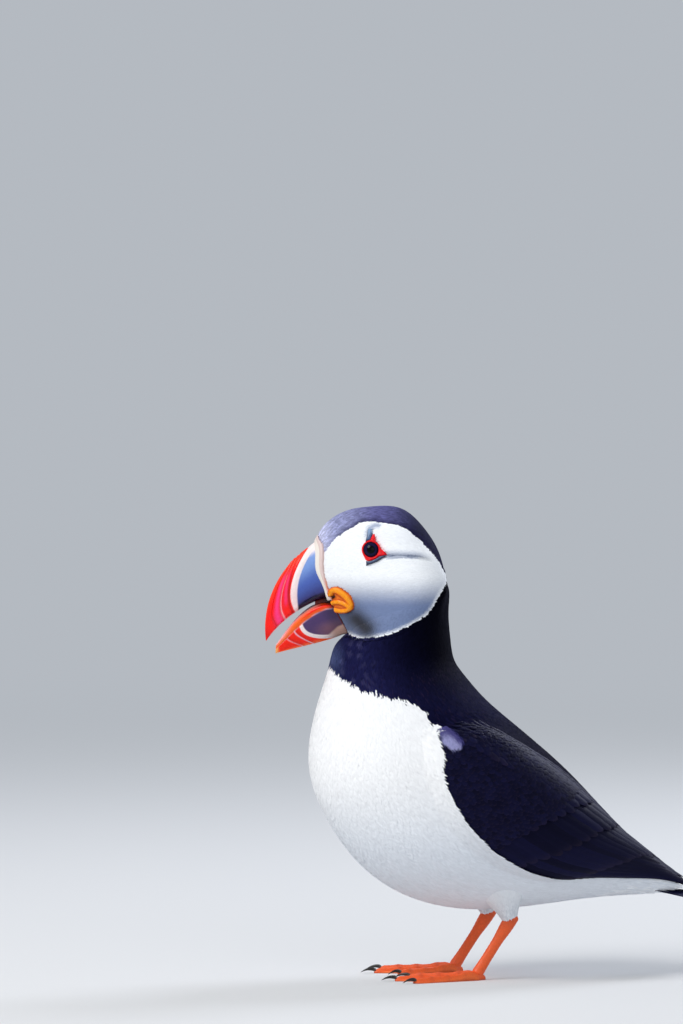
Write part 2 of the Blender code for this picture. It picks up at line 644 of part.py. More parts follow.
def legs(bird, cutters, trunk_space):
    for side, word in ((1, "left"), (-1, "right")):
        hip = (side * (ANKLE[0] - 1.0), ANKLE[1] - 3.5, ANKLE[2] + 15)
        ankle = (side * ANKLE[0], ANKLE[1], ANKLE[2])
        thigh = tapered_tube("thigh_" + word, hip, (ankle[0], ankle[1] - 0.4, ankle[2] + 1.4),
                             (11.5, 10.0, 7.6, 5.2, 3.6), 16)
        cut(add_object("thigh_" + word, thigh, "white plumage", bird), trunk_space)
        toe_root = (side * TOE_ROOT[0], TOE_ROOT[1], TOE_ROOT[2])
        down = (Vector(toe_root) - Vector(ankle)).normalized()
        start = Vector(ankle) + down * 3.3
        tarsus = tapered_tube("tarsus_" + word, start, Vector(toe_root) + Vector((0, 1.4, 2.0)),
                              (2.5, 2.1, TARSUS_RADIUS * 0.9, TARSUS_RADIUS), 12)
        shin = add_object("tarsus_" + word, tarsus, "orange leg", bird)
        stand_on_foot(shin, word, side, cutters)
        foot(word, side, bird)
        claws(word, side, bird)


def stand_on_foot(shin, word, side, cutters):
    """Trims the end of a tarsus level, so that it stands on the foot across a thin cut."""
    block = bmesh.new()
    bmesh.ops.create_cube(block, size=1)
    placed = Matrix.Translation((side * TOE_ROOT[0], TOE_ROOT[1], 2.2)) @ Matrix.Diagonal((16, 22, 4.4, 1))
    bmesh.ops.transform(block, matrix=placed, verts=block.verts)
    mesh = bpy.data.meshes.new("foot_space_" + word)
    block.to_mesh(mesh)
    block.free()
    cut(shin, add_object("foot_space_" + word, mesh, "claw", cutters))


# ---------------------------------------------------------------- the bird
def main():
    for old in list(bpy.data.objects):
        bpy.data.objects.remove(old)
    bird = bpy.data.collections.new("atlantic puffin")
    cutters = bpy.data.collections.new("cutters")
    bpy.context.scene.collection.children.link(bird)
    bpy.context.scene.collection.children.link(cutters)
    cutters.hide_render = True

    head = head_mesh("head")
    head.transform(turning_matrix())
    head = add_object("head", head, "white plumage", bird)
    neck_and_trunk(bird, cutters)
    wing("wing_left", 1, bird)
    wing("wing_right", -1, bird)
    trunk_space = swollen_trunk(cutters)
    tail(bird, trunk_space)
    bill(bird)
    face = Face()
    eyes(face, head, bird, cutters)
    rosettes(face, bird)
    legs(bird, cutters, trunk_space)


main()
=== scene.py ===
# %% [markdown]
# # An Atlantic puffin at life size
# The bird stands on a pale floor with its head turned a little and its bill open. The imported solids
# give every length: one skin is laid inside the fleshy ones, eyes, horn and claws are set into it, and
# feathers of real mesh cover it. The bird faces -Y, its left side is +X and the floor is z = 0.
# %% Load the frame
from math import cos, pi, radians, sin, sqrt
import bmesh
import bpy
import numpy as np
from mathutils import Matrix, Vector
from mathutils.bvhtree import BVHTree
from mathutils.kdtree import KDTree


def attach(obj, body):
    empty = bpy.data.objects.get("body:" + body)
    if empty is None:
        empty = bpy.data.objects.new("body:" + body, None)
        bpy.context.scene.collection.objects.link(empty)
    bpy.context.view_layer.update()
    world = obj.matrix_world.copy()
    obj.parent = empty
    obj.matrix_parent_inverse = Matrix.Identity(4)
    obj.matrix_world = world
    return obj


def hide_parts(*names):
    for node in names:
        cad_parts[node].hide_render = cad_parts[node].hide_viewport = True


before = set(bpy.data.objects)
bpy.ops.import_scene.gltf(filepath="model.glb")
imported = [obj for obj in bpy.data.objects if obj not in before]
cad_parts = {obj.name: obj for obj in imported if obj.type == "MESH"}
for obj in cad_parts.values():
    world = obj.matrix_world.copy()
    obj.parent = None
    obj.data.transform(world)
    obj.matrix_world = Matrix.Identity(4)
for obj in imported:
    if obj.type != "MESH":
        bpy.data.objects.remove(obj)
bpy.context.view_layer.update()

# %% [markdown]
# ## Curves
# A bird has no straight edges. It could be sculpted, but here it is lofted: smooth splines through a few
# sections in millimetres, each with a point on the back, one on the belly and a half width. A place
# along the sections and an angle round them then name every spot, which the feathers need.
# %% Smooth curves through a few values
MM = 0.001
SIDES = ((1, "left"), (-1, "right"))


def spline(values, places):
    """A natural cubic spline through values at 0, 1, 2 and so on, read at these places."""
    values = np.asarray(values, float)
    places = np.asarray(places, float)
    count = len(values)
    system = np.eye(count)
    pull = np.zeros_like(values)
    for i in range(1, count - 1):
        system[i, i - 1:i + 2] = (1, 4, 1)
        pull[i] = 6 * (values[i - 1] - 2 * values[i] + values[i + 1])
    bend = np.linalg.solve(system, pull)
    i = np.clip(np.floor(places).astype(int), 0, count - 2)
    f = (places - i).reshape(places.shape + (1,) * (values.ndim - 1))
    g = 1 - f
    return (g * values[i] + f * values[i + 1]
            + ((g**3 - g) * bend[i] + (f**3 - f) * bend[i + 1]) / 6)


def bezier(ends, t):
    """Points at t, from 0 to 1, on a cubic curve given as two ends with two handles between."""
    t = np.asarray(t, float)[..., None]
    p = np.array(ends, float)
    return (1 - t)**3 * p[0] + 3 * (1 - t)**2 * t * p[1] + 3 * (1 - t) * t**2 * p[2] + t**3 * p[3]


def ease(x):
    """A smooth step from 0 at x = 0 to 1 at x = 1."""
    x = np.clip(x, 0, 1)
    return x * x * (3 - 2 * x)


def dome(x):
    """A round shoulder that falls from 1 at x = 0 to 0 at x = 1."""
    return np.sqrt(np.clip(1 - x, 0, 1))


def full_turn(count):
    return np.linspace(0, 2 * pi, count, endpoint=False)


def pairs(rows, columns):
    return np.meshgrid(rows, columns, indexing="ij")


def stacked(*parts):
    return np.stack(parts, axis=-1)


def bell(x):
    return np.exp(-np.asarray(x, float)**2)


def mix(first, second, share):
    """Two colours, or two arrays of them, blended by share."""
    share = np.clip(np.asarray(share, float), 0, 1)[..., None]
    return np.asarray(first, float) * (1 - share) + np.asarray(second, float) * share


def paint(code):
    """A colour code such as #ff8800 as the linear light that shaders work in."""
    parts = np.array([int(code[i:i + 2], 16) for i in (1, 3, 5)]) / 255
    return np.where(parts <= 0.04045, parts / 12.92, ((parts + 0.055) / 1.055)**2.4)


def paints(codes):
    return [paint(code) for code in codes.split()]


def only(chosen, *values):
    """The chosen entries of several arrays."""
    return [value[chosen] for value in values]


print("half way along a test curve:", np.round(bezier(((0, 0), (1, 0), (1, 1), (2, 1)), 0.5), 3))

# %% [markdown]
# ## The two lofts of the bird
# The head is one loft, from the bill's base to the nape, and neck and trunk are another. Their sections
# are those of the solids, drawn in by up to a millimetre at crown and nape. All shapes are made on a
# bird that looks straight ahead, so they are symmetrical, and the head's turn comes last.
# %% Sections of the head and of the body
HEAD_TURN = radians(-12)
TURN_AXIS_Y, TURN_STARTS_Z, TURN_ENDS_Z = -15.0, 98.0, 134.0
CENTRING = np.array((0.0, -25.4, 0.0))

# crown y, z, throat y, z, half width, place of the widest point, fullness, forward bulge
HEAD_SECTIONS = np.array([
    (-49.1, 186.7, -35.0, 145.5, 7.8, 0.60, 0.95, 3.4),    # face, at the bill
    (-45.1, 192.8, -31.0, 143.6, 12.6, 0.62, 0.90, 1.9),   # forehead
    (-36.4, 198.1, -26.3, 142.4, 17.0, 0.62, 0.88, 0.6),   # lores
    (-25.3, 199.9, -20.6, 142.4, 20.2, 0.62, 0.88, 0.0),   # eyes
    (-13.8, 199.2, -13.8, 144.2, 22.2, 0.60, 0.90, 0.0),   # cheeks
    (-4.9, 192.3, -7.0, 148.6, 22.0, 0.56, 0.95, 0.0),     # ear
    (1.5, 183.0, -1.2, 155.2, 18.6, 0.52, 1.0, 0.0),       # back of the head
    (4.4, 174.9, 3.6, 162.2, 12.0, 0.50, 1.0, 0.0),        # nape
    (5.8, 168.8, 5.8, 168.8, 0.0, 0.50, 1.0, 0.0),
])
BODY_SECTIONS = np.array([
    (-10.0, 168.0, -10.0, 168.0, 0.0, 0.50, 1.0, 0.0),     # hidden in the head
    (5.2, 166.9, -25.0, 155.0, 18.0, 0.50, 1.0, 0.0),
    (6.8, 156.8, -37.8, 144.8, 22.2, 0.50, 0.98, 0.0),     # throat
    (7.4, 145.2, -42.4, 138.4, 24.6, 0.50, 0.96, 0.0),
    (8.9, 135.6, -44.4, 130.2, 26.8, 0.50, 0.94, 0.0),     # collar
    (12.7, 129.3, -47.6, 119.8, 31.0, 0.50, 0.92, 0.0),
    (18.2, 122.6, -50.8, 107.0, 36.2, 0.50, 0.92, 0.0),    # shoulders
    (24.8, 115.8, -52.2, 93.6, 40.4, 0.50, 0.92, 0.0),
    (32.8, 109.0, -50.2, 80.2, 42.8, 0.50, 0.92, 0.0),     # breast
    (41.8, 101.6, -43.8, 66.0, 43.6, 0.50, 0.92, 0.0),
    (51.2, 93.6, -34.0, 51.8, 43.4, 0.50, 0.92, 0.0),      # flanks
    (60.6, 84.8, -20.8, 40.0, 41.8, 0.50, 0.93, 0.0),
    (69.6, 75.4, -3.8, 32.0, 38.4, 0.50, 0.94, 0.0),       # legs
    (78.2, 66.2, 15.6, 28.6, 33.4, 0.50, 0.95, 0.0),
    (86.6, 57.9, 34.8, 29.0, 26.8, 0.48, 0.96, 0.0),       # vent
    (94.4, 50.7, 53.8, 31.0, 20.2, 0.46, 0.97, 0.0),       # tail coverts
    (102.0, 44.6, 73.2, 33.0, 14.6, 0.44, 1.0, 0.0),
    (109.8, 39.0, 94.0, 33.8, 9.4, 0.44, 1.0, 0.0),
])
BODY_END = 16.6


def on_sections(sections, place, angle):
    """Points of a loft at places along it and at angles round it, 0 on the back and pi below."""
    place, angle = np.broadcast_arrays(np.asarray(place, float), np.asarray(angle, float))
    back_y, back_z, low_y, low_z, half, widest, full, bulge = np.moveaxis(
        spline(sections, place), -1, 0)
    half = np.maximum(half, 0)
    c, s = np.cos(angle), np.sin(angle)
    down = np.where(c > 0, widest * (1 - c), widest - (1 - widest) * c)
    x = half * np.sign(s) * np.abs(s)**full
    y = back_y + down * (low_y - back_y) - bulge * 4 * down * (1 - down)
    z = back_z + down * (low_z - back_z)
    return stacked(x, y, z)


def unit(vectors):
    return vectors / np.maximum(np.linalg.norm(vectors, axis=-1, keepdims=True), 1e-12)


def outwards(sections, place, angle):
    """The direction that points away from the loft at each place and angle."""
    step = 1e-3
    along = on_sections(sections, place + step, angle) - on_sections(sections, place - step, angle)
    around = on_sections(sections, place, angle + step) - on_sections(sections, place, angle - step)
    return unit(np.cross(around, along))


def raised(sections, place, angle, lift):
    """Points that stand off a loft by lift millimetres."""
    base = on_sections(sections, place, angle)
    return base + outwards(sections, place, angle) * np.broadcast_to(lift, base.shape[:-1])[..., None]


def turn_head(points):
    """Turns what lies above the shoulders about the neck, more the higher it is."""
    p = np.array(points, float)
    share = ease((p[..., 2] - TURN_STARTS_Z) / (TURN_ENDS_Z - TURN_STARTS_Z))
    angle = HEAD_TURN * share
    x, y = p[..., 0].copy(), p[..., 1] - TURN_AXIS_Y
    p[..., 0] = x * np.cos(angle) - y * np.sin(angle)
    p[..., 1] = x * np.sin(angle) + y * np.cos(angle) + TURN_AXIS_Y
    return p


def into_place(points):
    """Millimetres in the straight bird to metres in the frame, with the head turned."""
    return (turn_head(points) + CENTRING) * MM


def in_scene(name, data):
    """A new object with this data, in the scene."""
    made = bpy.data.objects.new(name, data)
    bpy.context.scene.collection.objects.link(made)
    return made


crown = into_place(on_sections(HEAD_SECTIONS, [3.3], [0.0]))[0]

# %% [markdown]
# ## The camera
# The bird is seen from its left, almost level, through a long lens, so near and far parts keep their
# true sizes. The camera stands 4 m away, above the floor, and leaves air in front of the bill.
# %% Camera
CAMERA_TURN, CAMERA_RISE, CAMERA_AWAY = radians(78), radians(2), 4.0
AIM_ASIDE, AIM_UP, FRAME_TALL = -0.0631, 0.1971, 0.4357

back = Vector((sin(CAMERA_TURN) * cos(CAMERA_RISE),
               -cos(CAMERA_TURN) * cos(CAMERA_RISE), sin(CAMERA_RISE)))
aside = Vector((cos(CAMERA_TURN), sin(CAMERA_TURN), 0))
aim = aside * AIM_ASIDE + back.cross(aside) * AIM_UP
lens = bpy.data.cameras.new("camera")
camera = in_scene("camera", lens)
camera.location = aim + back * CAMERA_AWAY
camera.rotation_euler = back.to_track_quat("Z", "Y").to_euler()
lens.sensor_fit = "VERTICAL"
lens.sensor_height = 24.0
lens.lens = 24.0 * CAMERA_AWAY / FRAME_TALL
lens.clip_end = 60
bpy.context.scene.camera = camera
print("camera at", [round(v, 3) for v in camera.location], "with a lens of", round(lens.lens, 1), "mm")

# %% [markdown]
# ## Where the colours change
# The pattern is a few clear shapes: a pale disc on each side of the face, a dark crown joined by a strip
# on the nape to a dark collar and back, and a white breast. Instead of a painted image, each is a curve
# in millimetres that skin and feathers both ask, so a border follows whole feathers.
# %% The pale disc of the face
# y, z of the disc's edge, seen from the side of the straight head
DISC_EDGE = np.array([
    (-46.9, 178.7), (-43.4, 183.8), (-39.2, 188.1), (-34.9, 190.9), (-30.7, 193.2), (-26.0, 194.0),
    (-17.9, 193.0), (-13.7, 192.1), (-9.4, 189.8), (-5.1, 186.0), (-0.9, 181.7), (2.5, 177.4),
    (5.9, 171.2), (6.6, 168.4), (3.4, 163.6), (1.2, 159.6), (-0.9, 156.2), (-5.1, 152.8),
    (-13.7, 148.3), (-22.2, 145.7), (-29.8, 144.9), (-34.9, 145.9),
])
DISC_FRONT = np.array([(-38.5, 146.0), (-56.0, 150.0), (-56.0, 178.0)])


def line_points(corners, count):
    """Points along a smooth open curve through the corners."""
    return spline(corners, np.linspace(0, len(corners) - 1, count))


DISC = np.concatenate([line_points(DISC_EDGE, 170), DISC_FRONT])
# the dark strip down the nape that joins crown and collar between the two discs: half its width
NAPE_STRIP = 3.4


def distance_to_line(points, line):
    """Distance of each point in the side view to the nearest stretch of a line of points."""
    flat = points.reshape(-1, 2)
    start, step = line[:-1], np.diff(line, axis=0)
    long2 = np.maximum((step**2).sum(1), 1e-12)
    nearest = np.full(len(flat), 1e9)
    for first, run, square in zip(start, step, long2):
        share = np.clip(((flat - first) @ run) / square, 0, 1)
        gap = flat - first - share[:, None] * run
        nearest = np.minimum(nearest, (gap**2).sum(1))
    return np.sqrt(nearest).reshape(points.shape[:-1])


def inside_outline(points, outline):
    """True where a point in the side view lies inside a closed outline."""
    flat = points.reshape(-1, 2)
    found = np.zeros(len(flat), bool)
    for (y0, z0), (y1, z1) in zip(outline, np.roll(outline, -1, axis=0)):
        if z0 == z1:
            continue
        crosses = (z0 > flat[:, 1]) != (z1 > flat[:, 1])
        at = y0 + (flat[:, 1] - z0) * (y1 - y0) / (z1 - z0)
        found ^= crosses & (flat[:, 0] < at)
    return found.reshape(points.shape[:-1])


def disc_depth(points):
    """How deep a point of the head lies inside the pale disc: negative outside it."""
    side_view = points[..., 1:3]
    away = distance_to_line(side_view, np.vstack([DISC, DISC[:1]]))
    depth = np.where(inside_outline(side_view, DISC), away, -away)
    beside_nape = np.abs(points[..., 0]) - NAPE_STRIP
    return np.where(points[..., 1] > -12, np.minimum(depth, beside_nape), depth)


print("the eye lies", round(float(disc_depth(np.array([20.0, -26.0, 182.1]))), 1), "mm inside the disc")

# %% [markdown]
# ## Colours of the head
# The disc is white near bill and eye and blue-grey over the lower cheek, with a pale rim: the cheek's
# own grey, deepened as painted shade low down and under the mouth's corner. The crown is lightest on
# the forehead. The line behind the eye is a furrow, so it gets a shape and painted shade: a dark line
# in it and a grey band above it.
# %% Colours of the head
# the cheek greys are the face's own grey, deepened as painted shade low on the cheek and by the mouth
WHITE, CHEEK, CHEEK_DARK = paints("#f9fbfd #6a7ca4 #121726")
BROW, FOREHEAD, CROWN, NAPE = paints("#cfd1f0 #9498bf #5f5e90 #1c1c36")
FURROW = np.array([(-19.6, 179.7), (-13.7, 179.6), (-9.4, 179.4), (-5.1, 178.9), (-0.8, 177.7)])
FURROW_LINE = line_points(FURROW, 40)
# a grey line of painted shade running up from the brow plate
BROW_SHADE_LINE = line_points(np.array([(-27.3, 188.0), (-27.0, 190.3), (-25.0, 192.0), (-22.6, 192.4)]), 24)
# the dark wedge that runs down from the corner of the mouth beside the bill's base: the face's own
# dark grey there, deepened as painted shade under the mouth's corner
GAPE_SHADE = np.array([(-36.2, 156.2), (-32.0, 152.4), (-28.0, 148.8)])
EYE_Y, EYE_Z = -26.0, 182.1


def face_colour(points):
    """The pale disc's colour at points of the head, with painted shade on the cheek, furrow and brow."""
    y, z = points[..., 1], points[..., 2]
    rim = np.clip(disc_depth(points), 0, 9)
    # greyer towards the bottom: partly the cheek's own grey, partly painted shade low on the cheek
    low = ease((172.6 - z) / 15)
    grey = 0.98 * low * ease((rim + 0.4) / 2.4)
    grey = grey + 0.10 * bell((y + 12) / 12) * bell((z - 187) / 5.0)
    colour = mix(WHITE, CHEEK, grey)
    # the dark wedge below the mouth's corner: the face's own dark grey, deepened as painted shade
    from_gape = distance_to_line(points[..., 1:3], GAPE_SHADE)
    colour = mix(colour, paint("#47506a"), 0.85 * bell(from_gape / 4.8) * ease((rim + 0.8) / 1.6))
    from_gape = distance_to_line(points[..., 1:3], GAPE_SHADE[1:])
    colour = mix(colour, CHEEK_DARK, 0.97 * bell(from_gape / 3.6) * ease((rim + 0.8) / 1.6))
    # painted shade of the furrow: a dark line along it and a grey band just above it
    line = distance_to_line(points[..., 1:3], FURROW_LINE)
    fades = ease((1.5 - y) / 9) * ease((y + 21) / 2)
    colour = mix(colour, paint("#3c4a66"), 0.85 * bell(line / 0.62) * fades)
    above = (z > 178.5) * bell((line - 1.0) / 1.4) * fades
    colour = mix(colour, CHEEK, 0.5 * above)
    # painted shade: a grey line up from the brow plate
    brow_shade = distance_to_line(points[..., 1:3], BROW_SHADE_LINE)
    return mix(colour, paint("#8b9abb"), 0.8 * bell(brow_shade / 1.0))


def crown_colour(points):
    """The dark cap's colour, lightest on the forehead."""
    y = points[..., 1]
    colour = mix(BROW, FOREHEAD, ease((y + 49) / 9))
    colour = mix(colour, CROWN, ease((y + 42) / 20))
    colour = mix(colour, NAPE, ease((y + 23) / 19))
    edge = bell(disc_depth(points) / 1.5) * ease((y + 46) / 10)
    return mix(colour, paint("#1c1838"), 0.65 * edge)


print("cheek below the gape:", np.round(face_colour(np.array([[17.0, -31.0, 151.0]])), 3).tolist())

# %% [markdown]
# ## Colours of the body
# The collar's lower edge slants from throat to shoulder, and behind it the black runs to the rump.
# Black feathers are never flat black: they hold a little blue and turn brown where they are worn. More
# blue is painted on the front as sheen where the light falls, and the back of the neck is painted near
# black as shade.
# %% Colours of the body
INK, SLATE, WORN = paints("#07071a #191a40 #1b1526")
# the second white is the one low down, painted greyer and cooler as shade on the belly
BREAST, BELLY_SHADE = paints("#fafafa #e3e8ef")
# height of the collar's edge on the straight bird: y and z
COLLAR_EDGE = np.array([(-50.0, 132.0), (-44.0, 131.2), (-37.4, 126.4), (-31.0, 122.6), (-22.0, 120.2),
                        (-14.4, 118.6), (-7.0, 115.4), (0.0, 111.0)])
# place along the body and angle from the back, in degrees, where black turns to white
BACK_EDGE = np.array([(5.4, 86), (6.0, 79), (6.35, 76), (7.1, 80), (7.65, 83), (8.3, 84), (9.0, 78),
                      (12.0, 66), (14.0, 54), (16.6, 46), (18.0, 44)])


def is_dark(points, place, angle, ragged=0.0):
    """True where the body's plumage is black, with an edge moved by ragged, in millimetres."""
    edge = np.interp(points[..., 1], COLLAR_EDGE[:, 0], COLLAR_EDGE[:, 1])
    collar = (points[..., 2] + ragged > edge) & ~on_disc(points, ragged)
    back = np.abs(np.degrees(angle)) < np.interp(place, BACK_EDGE[:, 0], BACK_EDGE[:, 1]) + ragged
    return collar | (back & (place > 5.4))


def on_disc(points, ragged=0.0):
    """True where the pale disc of the face reaches down over the side of the neck."""
    return (points[..., 2] > 140) & (np.abs(points[..., 0]) > 6) & (disc_depth(points) + 0.3 * ragged > 0)


def dark_colour(points):
    """The black plumage's colour: browner low on the back, painted sheen in front, painted shade behind."""
    y, z = points[..., 1], points[..., 2]
    # painted sheen: lighter navy over the black on the front of the neck and in a band round the shoulders
    front = ease((-y - 8) / 26) + 0.5 * bell((z - 120) / 14)
    colour = mix(INK, SLATE, 0.85 * front * ease((z - 90) / 25))
    # painted sheen: mottled lighter patches on the front of the neck
    sheen_mottle = np.sin(0.9 * y + 2.0 * np.sin(0.45 * z)) * np.sin(0.8 * z + 1.7 * np.sin(0.5 * y + 1))
    colour = mix(colour, paint("#4a486c"), 0.30 * ease(sheen_mottle) * ease((-y - 20) / 12))
    # painted highlight along the throat's front edge
    throat = ease((-y - 36) / 7) * bell((z - 136) / 6)
    colour = mix(colour, paint("#5c6c98"), 0.40 * throat)
    # painted shade: the back of the neck near black
    colour = mix(colour, paint("#020206"), bell((y - 6) / 15) * ease((z - 110) / 32))
    return mix(colour, WORN, 0.45 * ease((y - 20) / 60))


def white_colour(points):
    """The white plumage's colour, painted greyer and cooler low down as shade on the belly."""
    return mix(BREAST, BELLY_SHADE, ease((92 - points[..., 2]) / 45))


front = on_sections(BODY_SECTIONS, 8.0, pi)
print("breast is", "black" if is_dark(front, 8.0, pi) else "white", "in front of the wings")

# %% [markdown]
# ## Folds in the surface
# The folded wing swells the flank, shoulder feathers slope over its edge, the disc stands proud of the
# neck and a furrow runs back from the eye. Sculpted folds could not be asked for again by every feather,
# so all of them are written as a lift in millimetres along the loft's normal.
# %% The swelling of the folded wing
# place along the body, then the wing's upper and lower edge in degrees from the back
WING_EDGES = np.array([
    (6.90, 72.0, 76.0), (7.15, 58.0, 84.0), (7.9, 46.0, 90.0), (9.0, 38.0, 96.0), (10.5, 32.0, 100.0),
    (12.0, 27.0, 101.0), (13.6, 22.5, 98.0), (15.0, 18.0, 90.0), (16.2, 14.0, 74.0), (17.1, 11.5, 52.0),
    (17.55, 13.0, 30.0),
])
WING_THICK, WING_EDGE_THICK, WING_GAP = 3.6, 0.7, 0.6
wing_line = spline(WING_EDGES, np.linspace(0, 10, 201))


def wing_edges(place):
    """The wing's upper and lower edge at a place along the body, in degrees from the back."""
    upper = np.interp(place, wing_line[:, 0], wing_line[:, 1])
    lower = np.interp(place, wing_line[:, 0], wing_line[:, 2])
    return upper, lower


def wing_height(place, across):
    """How far the wing's outer side stands off the body, from its upper edge, 0, to its lower, 1."""
    rounded = dome(np.abs(2 * np.clip(across, 0, 1) - 1)**3)
    thin_to_tip = 1 - 0.55 * ease((place - 11) / 6.5)
    front = ease((place - WING_EDGES[0, 0]) / 1.2)
    return WING_GAP + WING_EDGE_THICK + WING_THICK * rounded * thin_to_tip * front


def mantle_lift(place, angle):
    """The lift of the back: it slopes up over the wing's upper edge and on to its crest."""
    degrees = np.abs(np.degrees(angle))
    upper, lower = wing_edges(place)
    crest = upper + 0.48 * (lower - upper)
    rise = ease((degrees - (upper - 17)) / (crest - upper + 17))
    share = np.clip((degrees - upper) / np.maximum(lower - upper, 1), 0, 1)
    height = np.where(degrees < crest, wing_height(place, 0.5) * rise, wing_height(place, share))
    front = ease((place - 6.6) / 1.3)
    return height * front * (degrees < lower)


# %% [markdown]
# ## A soft join between head and neck
# Two lofts cross in a sharp crease, but feathers bridge such a gap. Both are lifted near it by what a
# smooth union would add, least on the nape. The lift is worked out once on a coarse grid and then read
# between its points, which is quicker than measuring for every feather.
# %% Fill the crease between head and neck
def ring_faces(rows, columns, start=0):
    """Quads between rings of points that follow one another, each ring closed on itself."""
    i, j = pairs(np.arange(rows - 1), np.arange(columns))
    k = (j + 1) % columns
    here, there = start + i * columns, start + (i + 1) * columns
    return stacked(here + j, here + k, there + k, there + j).reshape(-1, 4)


CREASE_REACH, NAPE_REACH, CREASE_COLUMNS = 11.0, 3.5, 73
crease_angles = np.linspace(-pi, pi, CREASE_COLUMNS)


def crease_table(sections, places, other_sections, other_places):
    """The lift that rounds off the crease, on a grid of places and angles."""
    place, angle = pairs(other_places, crease_angles[:-1])
    other = BVHTree.FromPolygons(on_sections(other_sections, place, angle).reshape(-1, 3).tolist(),
                                 ring_faces(len(other_places), CREASE_COLUMNS - 1).tolist())
    place, angle = pairs(places, crease_angles)
    spots = on_sections(sections, place, angle)
    gaps = np.zeros(place.shape)
    for index in np.ndindex(place.shape):
        near, out, _, away = other.find_nearest(Vector(spots[index]))
        gaps[index] = away if (Vector(spots[index]) - near).dot(out) > 0 else 0
    reach = NAPE_REACH + (CREASE_REACH - NAPE_REACH) * ease((np.abs(spots[..., 0]) - 6) / 8)
    lift = reach / 4 * np.clip(1 - gaps / reach, 0, 1)**2
    return lift * ease((spots[..., 1] + 38) / 8)


HEAD_PLACES, NECK_PLACES = np.linspace(0, 7.95, 60), np.linspace(0.35, 4.6, 44)
head_crease = crease_table(HEAD_SECTIONS, HEAD_PLACES, BODY_SECTIONS, NECK_PLACES)
neck_crease = crease_table(BODY_SECTIONS, NECK_PLACES, HEAD_SECTIONS, HEAD_PLACES)


def read_crease(table, places, place, angle):
    """The crease lift between the points of its grid."""
    u = (np.asarray(place, float) - places[0]) / (places[-1] - places[0]) * (len(places) - 1)
    v = (np.asarray(angle, float) + pi) / (2 * pi) % 1.0 * (CREASE_COLUMNS - 1)
    u, v = np.broadcast_arrays(np.clip(u, 0, len(places) - 1.001),
                               np.clip(v, 0, CREASE_COLUMNS - 1.001))
    i, j = u.astype(int), v.astype(int)
    f, g = u - i, v - j
    return ((table[i, j] * (1 - f) + table[i + 1, j] * f) * (1 - g)
            + (table[i, j + 1] * (1 - f) + table[i + 1, j + 1] * f) * g)


print("the crease is filled by up to", round(float(neck_crease.max()), 2), "mm")


# %% Back, body and head
def back_surface(place, angle, lift):
    """The bird's back and flank, with the folded wing under it."""
    return raised(BODY_SECTIONS, place, angle, lift + mantle_lift(place, angle))


def body_surface(place, angle, lift):
    """Neck, breast and belly without the wing."""
    return raised(BODY_SECTIONS, place, angle,
                  lift + read_crease(neck_crease, NECK_PLACES, place, angle))


print("the wing's crest stands", round(float(wing_height(10.0, 0.5)), 1), "mm off the flank")


# %% Disc, furrow and brow
def face_lift(points):
    """The relief of the head in millimetres: the disc's proud rim and the furrow behind the eye."""
    y, z = points[..., 1], points[..., 2]
    depth = disc_depth(points)
    rim = ease((depth + 0.2) / 0.7) * (1 - 0.75 * ease((depth - 0.5) / 5))
    lift = 0.55 * rim * ease((185 - z) / 8) * ease((y + 40) / 6)
    line = distance_to_line(points[..., 1:3], FURROW_LINE)
    fades = ease((2.0 - y) / 8) * ease((y + 21.5) / 2.5)
    above = np.where(z > np.interp(y, FURROW_LINE[:, 0], FURROW_LINE[:, 1]), 1.0, 0.35)
    lift = lift + fades * (0.45 * above * bell((line - 1.3) / 1.1) - 0.55 * bell(line / 0.55))
    hollow = bell((y - EYE_Y) / 6.5) * bell((z - EYE_Z) / 5.5)
    return lift - 0.25 * hollow


def head_surface(place, angle, lift):
    """The head with its relief."""
    relief = face_lift(on_sections(HEAD_SECTIONS, place, angle))
    crease = read_crease(head_crease, HEAD_PLACES, place, angle)
    return raised(HEAD_SECTIONS, place, angle, lift + relief + crease)


test = head_surface(np.array([3.5]), np.array([1.2]), np.array([0.0]))
print("a spot on the left temple:", np.round(test, 1).tolist())

# %% [markdown]
# ## From points to meshes
# Every piece is a list of points and faces made by formula, handed to Blender in one go, because adding
# a hundred thousand feathers point by point is slow. The colours go along as an attribute, tint.
# %% Mesh helpers
def mesh_of(name, points, faces, tint=None):
    """A smooth mesh from straight-bird points and arrays of triangles and quads."""
    mesh = bpy.data.meshes.new(name)
    corners = np.concatenate([np.asarray(f, np.int32).reshape(-1) for f in faces])
    sizes = np.concatenate([np.full(len(f), np.shape(f)[1], np.int32) for f in faces])
    mesh.vertices.add(len(points))
    mesh.vertices.foreach_set("co", np.asarray(points, np.float32).reshape(-1))
    mesh.loops.add(len(corners))
    mesh.loops.foreach_set("vertex_index", corners)
    mesh.polygons.add(len(sizes))
    mesh.polygons.foreach_set("loop_start", np.concatenate([[0], np.cumsum(sizes)[:-1]]).astype(np.int32))
    mesh.update(calc_edges=True)
    mesh.shade_smooth()
    if tint is not None:
        add_tint(mesh, tint)
    return mesh


def add_tint(mesh, tint):
    """Gives each point of a mesh its colour."""
    layer = mesh.attributes.new("tint", "FLOAT_COLOR", "POINT")
    rgba = np.ones((len(mesh.vertices), 4), np.float32)
    rgba[:, :3] = tint
    layer.data.foreach_set("color", rgba.reshape(-1))


def read(items, what, kind=np.int32, width=1):
    """One value, or width of them, for each item of a mesh."""
    values = np.empty(len(items) * width, kind)
    items.foreach_get(what, values)
    return values


def points_of(mesh):
    return read(mesh.vertices, "co", np.float32, 3).reshape(-1, 3).astype(float)


